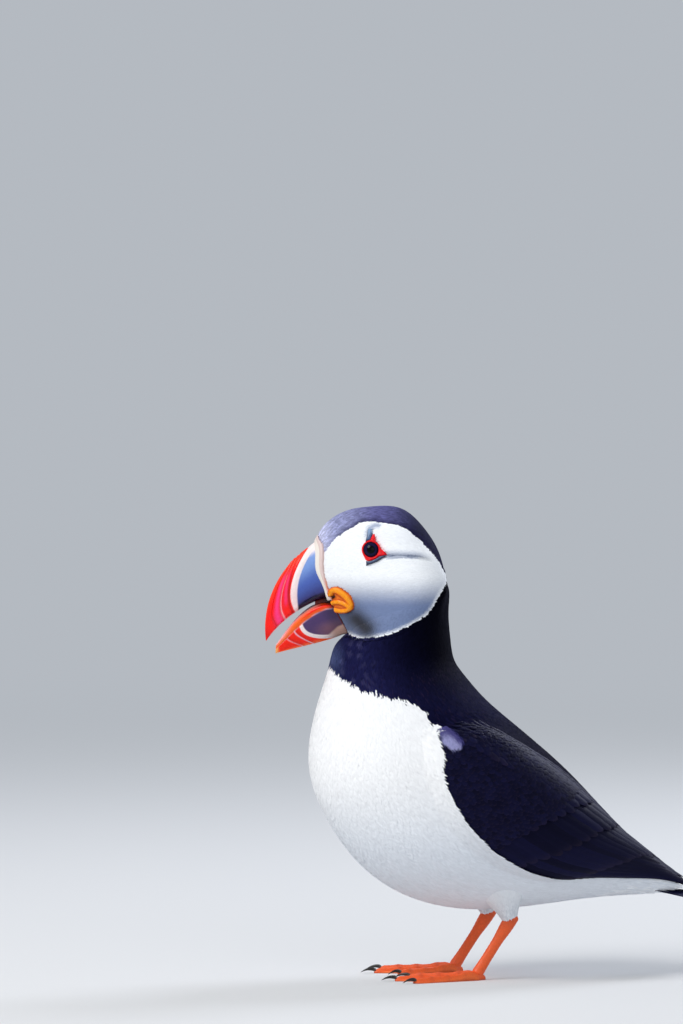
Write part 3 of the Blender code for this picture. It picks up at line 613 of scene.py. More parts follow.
def stand(name, mesh, *finishes):
    """Turns and centres a mesh from the straight bird's millimetres and stands it in the scene."""
    placed = into_place(points_of(mesh)).astype(np.float32)
    mesh.vertices.foreach_set("co", placed.reshape(-1))
    mesh.update()
    piece = in_scene(name, mesh)
    for finish in finishes:
        mesh.materials.append(finish)
    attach(piece, "root")
    return piece


def tube_mesh(name, rings, tint=None):
    """A closed mesh through rings of points, its ends closed by a fan to their middle."""
    rings = np.asarray(rings, float)
    rows, columns = rings.shape[:2]
    points = np.concatenate([rings.reshape(-1, 3), rings[0].mean(0)[None], rings[-1].mean(0)[None]])
    j = np.arange(columns)
    k = (j + 1) % columns
    first, last = rows * columns, rows * columns + 1
    low = stacked(np.full(columns, first), k, j)
    base = (rows - 1) * columns
    high = stacked(np.full(columns, last), base + j, base + k)
    return facing_out(mesh_of(name, points, [ring_faces(rows, columns), low, high], tint))


def shell_mesh(name, inner, outer, loops=False, tint=None):
    """A closed mesh between two grids of points that match. With loops, each row is a ring."""
    inner, outer = np.asarray(inner, float), np.asarray(outer, float)
    rows, columns = inner.shape[:2]
    count = rows * columns
    points = np.concatenate([inner.reshape(-1, 3), outer.reshape(-1, 3)])
    i, j = pairs(np.arange(rows - 1), np.arange(columns if loops else columns - 1))
    k = (j + 1) % columns
    quads = stacked(i * columns + j, i * columns + k, (i + 1) * columns + k,
                    (i + 1) * columns + j).reshape(-1, 4)
    sides = []
    j = np.arange(columns if loops else columns - 1)
    k = (j + 1) % columns
    sides.append(stacked(j, j + count, k + count, k))
    base = (rows - 1) * columns
    sides.append(stacked(base + j, base + k, base + k + count, base + j + count))
    if not loops:
        i = np.arange(rows - 1) * columns
        sides.append(stacked(i, i + columns, i + columns + count, i + count))
        i = i + columns - 1
        sides.append(stacked(i, i + count, i + columns + count, i + columns))
    faces = [quads, (quads + count)[:, ::-1]] + sides
    return facing_out(mesh_of(name, points, faces, tint))


def facing_out(mesh):
    """Turns the faces of a closed mesh so that they look outwards."""
    worked = bmesh.new()
    worked.from_mesh(mesh)
    bmesh.ops.recalc_face_normals(worked, faces=worked.faces)
    worked.to_mesh(mesh)
    worked.free()
    return mesh


print("a test tube has", len(tube_mesh("test", [[(0, 0, 0), (1, 0, 0), (0, 1, 0)],
                                               [(0, 0, 1), (1, 0, 1), (0, 1, 1)]]).polygons), "faces")
bpy.data.meshes.remove(bpy.data.meshes["test"])

# %% [markdown]
# ## The skin of head and trunk
# One skin replaces every fleshy solid, so no seam shows. It lies inside them by the depth of the coat:
# half a millimetre on the face, one on the body. Its parts are closed meshes that run into one another
# and are joined by one Boolean union, which is surer than stitching edges by hand.
# %% Head and trunk under the coat
FACE_COAT, BODY_COAT = 0.45, 1.0


def coat_depth(z):
    """The coat's depth at a height on head and neck."""
    return FACE_COAT + (BODY_COAT - FACE_COAT) * ease((152 - np.asarray(z, float)) / 30)


def head_skin():
    places = np.concatenate([np.linspace(0, 7.6, 96), [7.8, 7.93]])
    angles = full_turn(128)
    place, angle = pairs(places, angles)
    height = on_sections(HEAD_SECTIONS, place, angle)[..., 2]
    rings = head_surface(place, angle, -np.minimum(coat_depth(height), 1.0))
    return tube_mesh("skin head", rings)


def trunk_skin():
    places = np.concatenate([np.linspace(0.35, 6.4, 44), np.linspace(6.5, BODY_END, 96)])
    angles = full_turn(132)
    place, angle = pairs(places, angles)
    turned = (angle + pi) % (2 * pi) - pi
    base = on_sections(BODY_SECTIONS, place, turned)
    wing = mantle_lift(place, turned) * (1 - ease((place - 13.2) / 2.4))
    lift = 0.92 * wing - coat_depth(base[..., 2]) + read_crease(neck_crease, NECK_PLACES, place, turned)
    return tube_mesh("skin trunk", raised(BODY_SECTIONS, place, turned, lift))


head_part, trunk_part = head_skin(), trunk_skin()
print("head skin", len(head_part.polygons), "faces, trunk skin", len(trunk_part.polygons))

# %% [markdown]
# ## The side of the face as something to build on
# Eyelids, plates and the fold at the mouth are known by where they show from the side. A ray cast at
# the head from there finds the surface under them, and shells raised from it sit on the face's curve.
# %% Finding the face from the side
class Face:
    """The side of the straight head, which finds the point and normal under a place in the side view."""

    def __init__(self, mesh):
        self.tree = BVHTree.FromPolygons([v.co.copy() for v in mesh.vertices],
                                         [tuple(p.vertices) for p in mesh.polygons])

    def meets(self, side, y, z):
        found = self.tree.ray_cast(Vector((60 * side, y, z)), Vector((-side, 0, 0)))
        if found[0] is None:
            found = self.tree.find_nearest(Vector((8.0 * side, y, z)))
        return np.array(found[0]), np.array(found[1] if found[1].x * side > 0 else -found[1])

    def under(self, side, places, spread=1.2):
        """Points and smoothed normals below an array of places (y, z) in the side view."""
        flat = np.asarray(places, float).reshape(-1, 2)
        points, normals = [], []
        for y, z in flat:
            points.append(self.meets(side, y, z)[0])
            around = [self.meets(side, y + dy, z + dz)[1] for dy, dz in
                      ((0, 0), (spread, 0), (-spread, 0), (0, spread), (0, -spread))]
            normals.append(np.sum(around, axis=0))
        shape = np.shape(places)[:-1] + (3,)
        return np.array(points).reshape(shape), unit(np.array(normals)).reshape(shape)


def outer_head():
    """The head at the outside of the coat, to build on."""
    places = np.concatenate([np.linspace(0, 7.6, 70), [7.9]])
    angles = full_turn(96)
    place, angle = pairs(places, angles)
    return tube_mesh("outer head", on_sections(HEAD_SECTIONS, place, angle))


face = Face(outer_head())
eye_spot, _ = face.under(1, np.array([[EYE_Y, EYE_Z]]))
print("the left eye meets the face at", np.round(eye_spot[0], 1).tolist(), "mm")

# %% [markdown]
# ## Eyelids
# The red lid is a bare ring drawn out to corners. Its reach is a circle with a bell added for each
# corner, and its section a soft bead with a fine crease. The same reach later keeps feathers off it.
# %% The red lids
EYE_RADIUS, EYE_SHOWS, LID_WIDTH = 4.3, 3.3, 0.62
# degrees, reach and spread of each corner, and of the broader band below
LID_CORNERS = ((80, 2.9, 8.5), (344, 2.4, 15), (250, 1.0, 22), (300, 0.25, 34))


def lid_reach(angles):
    """How far the lid reaches from the eye's middle."""
    reach = np.full(np.shape(angles), EYE_SHOWS + LID_WIDTH)
    for at, more, spread in LID_CORNERS:
        off = (np.degrees(angles) - at + 180) % 360 - 180
        reach = reach + more * bell(off / spread)
    return reach


def lid(side):
    angles = full_turn(150)
    outer, inner = lid_reach(angles), np.full(len(angles), EYE_SHOWS - 0.12)
    places, heights = [], []
    for share in np.linspace(0, 1, 15):
        reach = inner + share * (outer - inner)
        places.append(stacked(EYE_Y + reach * np.cos(angles), EYE_Z + reach * np.sin(angles)))
        bead = 0.62 + 0.36 * sin(pi * min(1, share * 1.05))**0.8 - 0.16 * bell((share - 0.34) / 0.09)
        ends = -0.5 * ease((share - 0.86) / 0.14)
        wrinkle = 0.035 * np.sin(angles * 46 + 3 * sin(9 * share)) * sin(pi * share)
        heights.append(bead + ends + wrinkle)
    spots, normals = face.under(side, np.array(places), 0.9)
    upper = spots + normals * np.array(heights)[..., None]
    lower = spots - normals * 1.3
    return shell_mesh("lid", lower, upper, loops=True)


lids = [lid(1), lid(-1)]
print("a lid reaches", round(float(lid_reach(radians(88))), 1), "mm above the eye's middle")

# %% [markdown]
# ## The fold at the mouth and the strip round the bill
# Each corner of the mouth has a thick orange rosette, skin folded over itself with a slit between: a
# height map over the face, highest along two ridge lines. The cream strip at the bill's base is a double
# bead from one corner of the mouth over the forehead to the other.
# %% Rosettes
ROSETTE_Y, ROSETTE_Z = -38.6, 160.6
UPPER_LOBE = np.array([(-4.7, 1.4), (-4.5, 3.2), (-3.3, 4.2), (-1.2, 3.8), (1.2, 2.1), (3.0, 0.2),
                       (3.9, -1.7), (3.7, -3.2)])
LOWER_LOBE = np.array([(3.6, -3.3), (1.6, -4.4), (-1.5, -4.5), (-4.1, -3.7), (-4.8, -2.3), (-3.3, -1.1),
                       (-0.9, -0.9), (1.5, -1.7), (3.0, -2.8)])
MOUTH_CORNER = np.array([(-7.5, 0.6), (-5.2, 0.7), (-3.2, 1.4)])
upper_ridge, lower_ridge = line_points(UPPER_LOBE, 60), line_points(LOWER_LOBE, 60)
mouth_corner = line_points(MOUTH_CORNER, 12)


def face_y(z):
    """Where the front of the head lies at a height, in the plane of symmetry."""
    back_y, back_z, low_y, low_z, _, _, _, bulge = HEAD_SECTIONS[0]
    down = (back_z - np.asarray(z, float)) / (back_z - low_z)
    return back_y + down * (low_y - back_y) - bulge * 4 * down * (1 - down)


def rosette_height(offsets):
    """Height and share of the way down a lobe at places round the rosette's middle."""
    to_upper, to_lower = distance_to_line(offsets, upper_ridge), distance_to_line(offsets, lower_ridge)
    slim = 1.35 + 0.25 * ease((offsets[..., 0] + 4.5) / 3) - 0.35 * ease((offsets[..., 0] - 2) / 2)
    high = 1.75 * dome((to_upper / slim)**2)
    low = 1.45 * dome((to_lower / 1.15)**2)
    crease = np.sin(3.4 * offsets[..., 0] + 1.8 * offsets[..., 1] + 1.6 * np.sin(1.7 * offsets[..., 1]))
    wrinkles = 0.07 * crease + 0.035 * np.sin(9.0 * offsets[..., 1] - 7.0 * offsets[..., 0])
    inside = ((offsets[..., 0] - 0.2) / 4.3)**2 + ((offsets[..., 1] + 0.5) / 4.4)**2
    filled = 0.75 * ease((1.05 - inside) / 0.2)
    height = np.maximum(np.maximum(high, low), filled)
    height = height + wrinkles * (height > 0.3)
    dark = bell(distance_to_line(offsets, mouth_corner) / 0.62)
    height = np.where(dark > 0.2, np.maximum(height * (1 - dark), 0.12), height)
    return height, np.minimum(to_upper / slim, to_lower / 1.15)


def rosette(side):
    steps = np.linspace(-6.4, 6.2, 84)
    dy, dz = pairs(steps, np.linspace(-6.6, 6.6, 84))
    offsets = stacked(dy, dz)
    height, _ = rosette_height(offsets)
    places = offsets + (ROSETTE_Y, ROSETTE_Z)
    places[..., 0] = np.maximum(places[..., 0], face_y(places[..., 1]) + 0.3)
    spots, normals = face.under(side, places, 2.0)
    fades = ease((dy + ROSETTE_Y - face_y(dz + ROSETTE_Z) + 0.3) / 0.6)
    sunk = np.where(height > 0.02, height - 0.35, -1.1) * fades - 1.1 * (1 - fades)
    return shell_mesh("rosette", spots - normals * 2.2, spots + normals * sunk[..., None])


rosettes = [rosette(1), rosette(-1)]
print("rosette grid:", len(rosettes[0].vertices), "points")


# %% The strip round the bill's base
CULMEN = ((-49.0, 185.0), (-61.5, 178.0), (-73.0, 163.0), (-70.7, 143.2))
UPPER_EDGE = ((-44.6, 161.4), (-53.0, 159.2), (-64.5, 152.0), (-70.4, 142.9))
LOWER_EDGE = ((-43.4, 159.4), (-53.6, 160.6), (-60.8, 148.9), (-66.4, 141.2))
GONYS = ((-35.9, 146.6), (-44.0, 142.4), (-56.0, 140.6), (-66.6, 137.5))
UPPER_HALF_WIDTHS = (6.9, 6.3, 5.1, 3.7, 2.3, 0.6)
LOWER_HALF_WIDTHS = (6.0, 5.6, 4.7, 3.6, 2.3, 0.9)


def share_down(around, widest):
    """How far down the side of the bill each point of a ring lies, and its share of the half width."""
    angles = full_turn(around)
    c = np.cos(angles)
    return np.where(c > 0, widest * (1 - c), widest - (1 - widest) * c), np.sin(angles)


def bill_grid(top, bottom, halves, shares, around, widest):
    """Rings of half a bill between its outlines. Shares along it are one for each ring, or a grid."""
    down, out = share_down(around, widest)
    shares = np.asarray(shares, float)
    shares = shares[:, None] + 0 * down if shares.ndim == 1 else shares
    half = spline(halves, shares * (len(halves) - 1))
    high, low = bezier(top, shares), bezier(bottom, shares)
    yz = high + down[None, :, None] * (low - high)
    return (np.concatenate([(half * out[None])[..., None], yz], axis=-1),
            np.broadcast_to(down, shares.shape))


def swell(rings, lift):
    """Moves rings of points out from their own surface by lift."""
    along = np.gradient(rings, axis=0)
    around = np.roll(rings, -1, axis=1) - np.roll(rings, 1, axis=1)
    out = unit(np.cross(around, along))
    middle = rings.mean(axis=1, keepdims=True)
    if (out * (rings - middle)).sum() < 0:
        out = -out
    return rings + out * lift[..., None]


CERE_TURNS, CERE_ACROSS = pairs(np.radians(np.linspace(-95, 95, 110)), np.linspace(0, 1, 18))


def cere_points(turn, across):
    """The strip between its front edge on the bill, across 0, and its rear edge on the face, 1."""
    c, degrees = np.cos(turn), np.degrees(np.abs(turn))
    down = 0.96 * (1 - c)
    share = 0.012 + 0.058 * bell((down - 0.47) / 0.27) + 0.015 * (1 - down)
    high, low = bezier(CULMEN, share), bezier(UPPER_EDGE, share)
    front_yz = high + down[..., None] * (low - high)
    front = np.concatenate([(UPPER_HALF_WIDTHS[0] * np.sin(turn))[..., None], front_yz], axis=-1)
    rear = on_sections(HEAD_SECTIONS, 0.17 + 0.38 * bell((degrees - 42) / 16), turn)
    out = unit(stacked(np.sin(turn), -0.75 + 0 * turn, c))
    bead = dome(np.abs(2 * across - 1)**3) - 0.30 * bell((across - 0.66) / 0.07)
    bead = bead * (0.65 + 0.35 * ease(degrees / 40)) * ease((96 - degrees) / 6)
    pores = 0.04 * np.sin(40 * turn + 2 * np.sin(17 * across)) * bell((across - 0.82) / 0.12)
    return (front + across[..., None] * (rear - front)
            + (0.85 * bead + pores - 0.1)[..., None] * out), out


def cere():
    outer, out = cere_points(CERE_TURNS, CERE_ACROSS)
    return shell_mesh("cere", outer - 2.2 * out, outer)


cere_part = cere()
print("cere:", len(cere_part.polygons), "faces")

# %% [markdown]
# ## Legs and feet
# The thighs are lost in the belly feathers. Below the ankle the leg is bare, with scutes down its front
# and fine scales behind. The foot is one shell over the floor: three long toes with plates across them,
# swollen at their joints, and thin creased webs between.
# %% Thighs and shanks
ANKLE, TOE_ROOT = np.array((20.5, 29.5, 25.0)), np.array((21.5, 14.0, 3.6))
TOES, HEEL_BEHIND, CLAW_LENGTH = ((-22, 28.5), (-1, 34.5), (21, 31.5)), 5.0, 6.0
LEG_COAT = 1.1


def limb_axes(start, end):
    """Directions along a limb, across it to the bird's outer side, and to its front."""
    axis = unit(end - start)
    front = unit(np.cross(axis, (1.0, 0.0, 0.0)))
    front = front if front[1] < 0 else -front
    return axis, unit(np.cross(front, axis)), front


def limb(start, end, radii, stations, around, relief=None, ends=0.6):
    """Rings of a round-ended limb on the left side, with relief(share, angle) added to its radius."""
    axis, across, front = limb_axes(start, end)
    length = np.linalg.norm(end - start)
    cup = np.linspace(pi / 2, 0, 8)[:-1]
    share = np.concatenate([-ends * radii[0] * np.sin(cup) / length, np.linspace(0, 1, stations),
                            1 + ends * radii[-1] * np.sin(cup[::-1]) / length])
    narrow = np.concatenate([np.cos(cup), np.ones(stations), np.cos(cup[::-1])])
    radius = spline(radii, np.clip(share, 0, 1) * (len(radii) - 1)) * np.maximum(narrow, 0.02)
    angles = full_turn(around)
    radius = radius[:, None] + (0 if relief is None else relief(share[:, None], angles[None, :]))
    spoke = np.cos(angles)[:, None] * front + np.sin(angles)[:, None] * across
    centre = start + axis * (share * length)[:, None]
    return centre[:, None] + radius[..., None] * spoke[None]


def shank_relief(share, angles):
    """Scutes down the front of the shank and a net of small scales behind."""
    facing = np.clip(np.cos(angles), 0, 1)
    step = (share * 15) % 1.0
    scutes = 0.17 * (dome((2 * step - 1)**4) - 0.6) * ease((facing - 0.25) / 0.4)
    net = 0.06 * np.sin(share * 95 + 2 * np.sin(angles * 3)) * np.sin(angles * 11) * (1 - facing)
    flat = -0.28 * np.abs(np.sin(angles))**2
    return (scutes + net + flat) * ease((share + 0.02) / 0.06) * ease((1.02 - share) / 0.06)


def thigh_rings(coat):
    hip = ANKLE + (-1.0, -3.5, 15.0)
    radii = np.array((11.5, 10.0, 7.6, 5.2, 3.6)) - coat
    return limb(hip, ANKLE + (0, -0.4, 1.4), radii, 26, 40)


def shank_rings():
    down = unit(TOE_ROOT - ANKLE)
    return limb(ANKLE - down * 1.6, TOE_ROOT + (0, 1.2, -0.6), (2.9, 2.75, 2.25, 2.15, 2.2, 2.5), 110,
                44,
                shank_relief)


def mirrored(rings, side):
    return rings * (side, 1, 1)


leg_parts = []
for side in (1, -1):
    leg_parts.append(tube_mesh("thigh", mirrored(thigh_rings(LEG_COAT), side)))
    leg_parts.append(tube_mesh("shank", mirrored(shank_rings(), side)))
print("legs:", sum(len(p.polygons) for p in leg_parts), "faces")


# %% Feet
def foot_reach(angle):
    """How far the foot reaches at an angle: to the toe tips, and back in along the webs between."""
    tips = [(radians(a), length) for a, length in TOES]
    for (first, long_a), (second, long_b) in zip(tips, tips[1:]):
        if first <= angle <= second:
            share = (angle - first) / (second - first)
            straight = long_a + (long_b - long_a) * share
            across = min(max((share - 0.07) / 0.86, 0), 1)
            return straight * (1 - 0.21 * sin(pi * across)**0.85)
    return tips[0][1] if angle < tips[0][0] else tips[-1][1]


def foot_height(away, angle, share):
    """Height of the foot's upper side: toes with joints and plates, and creased webs between them."""
    tips = np.radians([a for a, _ in TOES])
    off = np.min([np.abs(angle - tip) * away for tip in tips], axis=0)
    toe_along = away / 33.0
    joints = sum(bell((toe_along - at) / 0.05) for at in (0.36, 0.62, 0.86))
    plates = dome((2 * ((away / 1.45) % 1.0) - 1)**4) - 0.7
    ridge = bell(off / (1.45 + 0.15 * joints))
    toe = (3.1 - 1.05 * share + 0.35 * joints) * ridge + 0.16 * plates * bell(off / 1.0)
    web = 0.85 + 0.09 * np.sin(away * 2.3 + 1.7 * np.sin(angle * 16)) * np.sin(angle * 55 + away * 0.4)
    instep = 2.4 * bell((share - 0.12) / 0.16) * bell(off / 3.0)
    return np.maximum(web, toe) + instep * 0.35


def foot(side):
    tips = np.radians([a for a, _ in TOES])
    half_toe = radians(3.0)
    angles = np.concatenate([np.linspace(tips[0] - half_toe, tips[0], 8)[:-1],
                             np.linspace(tips[0], tips[2], 96),
                             np.linspace(tips[2], tips[2] + half_toe, 8)[1:]])
    reach = np.array([foot_reach(min(max(a, tips[0]), tips[2])) for a in angles]) + HEEL_BEHIND
    outside = np.maximum(np.maximum(tips[0] - angles, angles - tips[2]), 0) / half_toe
    reach = reach * (1 - 0.045 * outside**2)
    share = np.linspace(0, 1, 80)[None, :]
    aside = (angles - tips[1]) / (tips[2] - tips[1])
    starts = (0.4 + 3.4 * np.abs(aside)**2.2)[:, None]
    away = starts + (reach[:, None] - starts) * share
    angle = angles[:, None] + 0 * share
    spread = 1.7 * (1 - share) * (angle - tips[1]) / (tips[2] - tips[1])
    x = TOE_ROOT[0] + spread + away * np.sin(angle)
    y = TOE_ROOT[1] + HEEL_BEHIND - away * np.cos(angle)
    height = foot_height(away, angle, share + 0 * angle)
    height = height * (0.30 + 0.70 * np.sqrt(np.minimum(1, share / 0.12)))
    edge = np.minimum(np.sqrt(np.clip((1 - share) / 0.055, 0, 1)), 1 - 0.75 * outside[:, None]**2)
    height = np.maximum(height * (0.3 + 0.7 * edge), 0.45)
    low = stacked(side * x, y, 0 * x)
    high = stacked(side * x, y, height)
    return shell_mesh("foot", low, high)


leg_parts += [foot(1), foot(-1)]
print("a foot reaches", round(foot_reach(radians(-1)) + HEEL_BEHIND, 1), "mm from heel to middle toe")


# %% The tail under its feathers
TAIL_ROOT, TAIL_TIP = np.array((88.0, 36.2)), np.array((120.5, 29.8))
TAIL_ROOT_HALF, TAIL_TIP_HALF, TAIL_ROOF = 9.5, 17.5, 2.4


def tail_middle(share, x):
    """Height of the tail's middle layer: a little roofed along the middle."""
    y, z = np.moveaxis(TAIL_ROOT + np.asarray(share)[..., None] * (TAIL_TIP - TAIL_ROOT), -1, 0)
    return y, z + TAIL_ROOF * (0.4 + 0.6 * np.asarray(share)) * (1 - (x / TAIL_TIP_HALF)**2)


def tail_core():
    angles = full_turn(40)
    rings = []
    for share in np.linspace(0.02, 0.62, 12):
        width = (TAIL_ROOT_HALF + share * (TAIL_TIP_HALF - TAIL_ROOT_HALF)) * 0.72
        x = width * np.cos(angles)
        y, z = tail_middle(np.full(40, share), x)
        thick = 0.5 + 1.6 * (1 - share / 0.62)
        rings.append(stacked(x, y, z + thick * np.sin(angles)))
    return tube_mesh("tail core", rings)


tail_part = tail_core()
print("tail core:", len(tail_part.polygons), "faces")

# %% [markdown]
# ## Finishes
# A plain colour looks like plastic. Each finish takes its colour from tint, breaks it up with noise,
# varies its roughness, and adds a bump at the size of the real detail: pores and creases on skin, growth
# lines on horn. Values that are even all over are set straight on the shader.
# %% A helper for finishes
def feed(tree, made, inputs):
    """Sets a shader node's inputs, or links those given as another node's output."""
    for name, value in inputs.items():
        if isinstance(value, bpy.types.NodeSocket):
            tree.links.new(value, made.inputs[name])
        else:
            made.inputs[name].default_value = value


def node(tree, kind, inputs, output, **settings):
    """Adds a shader node and returns one of its outputs."""
    made = tree.nodes.new("ShaderNode" + kind)
    for name, value in settings.items():
        setattr(made, name, value)
    feed(tree, made, inputs)
    return made.outputs[output]


def finish(name, roughness, mottle, bump, grain=(2200.0, 6.0), **even):
    """A procedural finish: tint with mottling, uneven roughness and a bump."""
    made = bpy.data.materials.new(name)
    made.use_nodes = True
    tree = made.node_tree
    place = node(tree, "TexCoord", {}, "Object")
    noise = node(tree, "TexNoise", {"Vector": place, "Scale": grain[0], "Detail": grain[1]}, "Fac")
    spread = {"Value": noise, "To Min": 1 - mottle, "To Max": 1 + mottle}
    colour = {0: node(tree, "Attribute", {}, "Color", attribute_name="tint"),
              "Scale": node(tree, "MapRange", spread, "Result")}
    gloss = {"Value": noise, "To Min": roughness[0], "To Max": roughness[1]}
    relief = {"Height": noise, "Strength": bump[0], "Distance": bump[1] * MM}
    even = {socket.replace("_", " "): value for socket, value in even.items()}
    feed(tree, tree.nodes["Principled BSDF"], {
        "Base Color": node(tree, "VectorMath", colour, "Vector", operation="SCALE"),
        "Roughness": node(tree, "MapRange", gloss, "Result"),
        "Normal": node(tree, "Bump", relief, "Normal"), **even})
    return made


# roughness range, mottling, bump strength and height in mm
under_plumage = finish("skin under the feathers", (0.75, 0.95), 0.15, (0.5, 0.10))
lid_skin = finish("red lid skin", (0.40, 0.60), 0.14, (0.5, 0.05), (2600.0, 4.0), Coat_Weight=0.05,
                  Specular_IOR_Level=0.25)
mouth_skin = finish("orange mouth skin", (0.35, 0.55), 0.16, (0.5, 0.08), (1500.0, 5.0),
                    Coat_Weight=0.06,
                    Specular_IOR_Level=0.30)
cream_skin = finish("cream skin of the bill", (0.45, 0.65), 0.08, (0.6, 0.06), (2400.0, 5.0))
leg_skin = finish("orange leg skin", (0.42, 0.62), 0.22, (0.7, 0.10), (1300.0, 8.0), Coat_Weight=0.10)
skin_finishes = [under_plumage, lid_skin, mouth_skin, cream_skin, leg_skin]
print("finishes so far:", [m.name for m in skin_finishes])

# %% [markdown]
# ## One skin
# The eye sockets are cut out of the head, and the parts are joined. The manifold solver needs closed
# meshes and joins a hundred thousand faces in a moment. Each part brings its own finish slot.
# %% Join the parts
EYE_SUNK = sqrt(EYE_RADIUS**2 - EYE_SHOWS**2)
eye_seats = {}
for side in (1, -1):
    spots, normals = face.under(side, np.array([[EYE_Y, EYE_Z]]))
    looks = unit(normals[0] + (side, 0, 0))
    eye_seats[side] = (spots[0] - looks * (EYE_SUNK - 0.2), looks)


def ball_rings(side, radius, rows, around, bulge=0.0):
    """Rings of an eyeball about the line it looks along, from front to back."""
    centre, looks = eye_seats[side]
    across = unit(np.cross(looks, (0, 0, 1.0)))
    up = np.cross(across, looks)
    polar = np.linspace(0.02, pi - 0.02, rows)
    turn = full_turn(around)
    reach = radius + bulge * bell(polar / 0.75)
    ring = np.cos(turn)[:, None] * across + np.sin(turn)[:, None] * up
    return (centre + (reach * np.cos(polar))[:, None, None] * looks
            + (reach * np.sin(polar))[:, None, None] * ring[None])


def join(base, others, slots, sockets):
    """The union of closed meshes, less the sockets, as one new mesh."""
    made = in_scene("join", base)
    for material in skin_finishes:
        base.materials.append(material)
    helpers = []
    for mesh, slot, operation in ([(m, 0, "DIFFERENCE") for m in sockets]
                                  + [(m, s, "UNION") for m, s in zip(others, slots)]):
        for material in skin_finishes:
            mesh.materials.append(material)
        mesh.polygons.foreach_set("material_index", np.full(len(mesh.polygons), slot, np.int32))
        helper = in_scene("join helper", mesh)
        helpers.append(helper)
        step = made.modifiers.new("join", "BOOLEAN")
        step.operation, step.solver, step.object = operation, "MANIFOLD", helper
    bpy.context.view_layer.update()
    whole = bpy.data.meshes.new_from_object(made.evaluated_get(bpy.context.evaluated_depsgraph_get()))
    for helper in helpers + [made]:
        used = helper.data
        bpy.data.objects.remove(helper)
        bpy.data.meshes.remove(used)
    return whole


sockets = [tube_mesh("socket", ball_rings(side, EYE_RADIUS + 0.12, 20, 28)) for side in (1, -1)]
others = [trunk_part, *lids, *rosettes, cere_part, *leg_parts, tail_part]
slots = [0, 1, 1, 2, 2, 3, 0, 4, 0, 4, 4, 4, 0]
skin_mesh = join(head_part, others, slots, sockets)
skin_mesh.name = "skin"
skin_slots = read(skin_mesh.polygons, "material_index")
skin_mesh.calc_loop_triangles()
print("skin:", len(skin_mesh.loop_triangles), "triangles, faces by finish",
      np.bincount(skin_slots).tolist())

# %% [markdown]
# ## Colour the skin
# The skin carries the bird's pattern too, so nothing pale shines through between feathers. Each point
# asks where it lies: on the head in the side view, on the body by the nearest named spot of the loft,
# which a k-d tree finds quickly.
# %% Colours of the bare parts
# the lid's red, and a darker red painted as shade in its crease and where it turns into the socket
LID_RED, LID_CREASE_SHADE = paints("#f80618 #a00414")
# the rosette's orange, painted lighter along the lobes' crests and darker down their sides, with painted shade
# in the folds
ROSETTE_TOP, ROSETTE_SIDE, ROSETTE_FOLD_SHADE = paints("#ff9e04 #f07400 #c24400")
# a darker pink painted as shade in the bead's groove and along its rear edge against the face
CERE_FRONT, CERE_BACK, CERE_GROOVE_SHADE = paints("#efe7dc #e2cbc6 #c9a49e")
# the last colour darkens the toes' joints, and is painted as shade round the ankle and along the foot's edge on
# the floor
LEG_ORANGE, WEB_ORANGE, LEG_DUSK = paints("#ee5a16 #f4762c #a83412")
# painted shade in the mouth's corner and inside the open mouth
MOUTH_SHADE = paint("#2a0805")


def tree_of(spots):
    """A k-d tree that finds the nearest of many spots."""
    tree = KDTree(len(spots))
    for index, spot in enumerate(spots):
        tree.insert(spot, index)
    tree.balance()
    return tree


cere_spots, _ = cere_points(CERE_TURNS, CERE_ACROSS)
cere_tree = tree_of(cere_spots.reshape(-1, 3))


def cere_colour(points):
    """Cream in front, pinkish behind, orange beside the mouth, painted shade in groove and at rear edge."""
    nearest = [cere_tree.find(p)[1] for p in points]
    across, turn = CERE_ACROSS.reshape(-1)[nearest], np.abs(CERE_TURNS.reshape(-1)[nearest])
    colour = mix(CERE_FRONT, CERE_BACK, ease((across - 0.60) / 0.15))
    colour = mix(colour, CERE_GROOVE_SHADE, 0.5 * bell((across - 0.66) / 0.06) + 0.5 * ease((across - 0.92) / 0.08))
    colour = mix(colour, CERE_BACK, 0.6 * bell(turn / 0.4))
    low_end = ease((turn - radians(68)) / 0.25)
    return mix(colour, paint("#f0701c"), 0.70 * low_end * ease((across - 0.7) / 0.3))


def rosette_colour(points):
    offsets = points[:, 1:3] - (ROSETTE_Y, ROSETTE_Z)
    _, share = rosette_height(offsets)
    # painted light and shade: lighter on the crests, darker down the sides, darkest in the fold at each lobe's
    # foot and in stripes like wrinkles
    colour = mix(ROSETTE_TOP, ROSETTE_SIDE, ease((share - 0.35) / 0.5))
    colour = mix(colour, ROSETTE_FOLD_SHADE, 0.9 * bell((share - 1.02) / 0.16))
    colour = mix(colour, ROSETTE_FOLD_SHADE, 0.35 * bell(np.sin(4.1 * offsets[:, 0] + 2.6 * offsets[:, 1]) / 0.4))
    # painted shade in the slit at the mouth's corner
    return mix(colour, MOUTH_SHADE, 1.2 * bell(distance_to_line(offsets, mouth_corner) / 0.75))


def lid_colour(points):
    dy, dz = points[:, 1] - EYE_Y, points[:, 2] - EYE_Z
    turn = np.arctan2(dz, dy)
    share = (np.hypot(dy, dz) - EYE_SHOWS) / (lid_reach(turn) - EYE_SHOWS)
    # painted shade in the lid's crease and at its inner edge
    return mix(LID_RED, LID_CREASE_SHADE, 0.7 * bell((share - 0.34) / 0.12) + 0.5 * (share < 0))


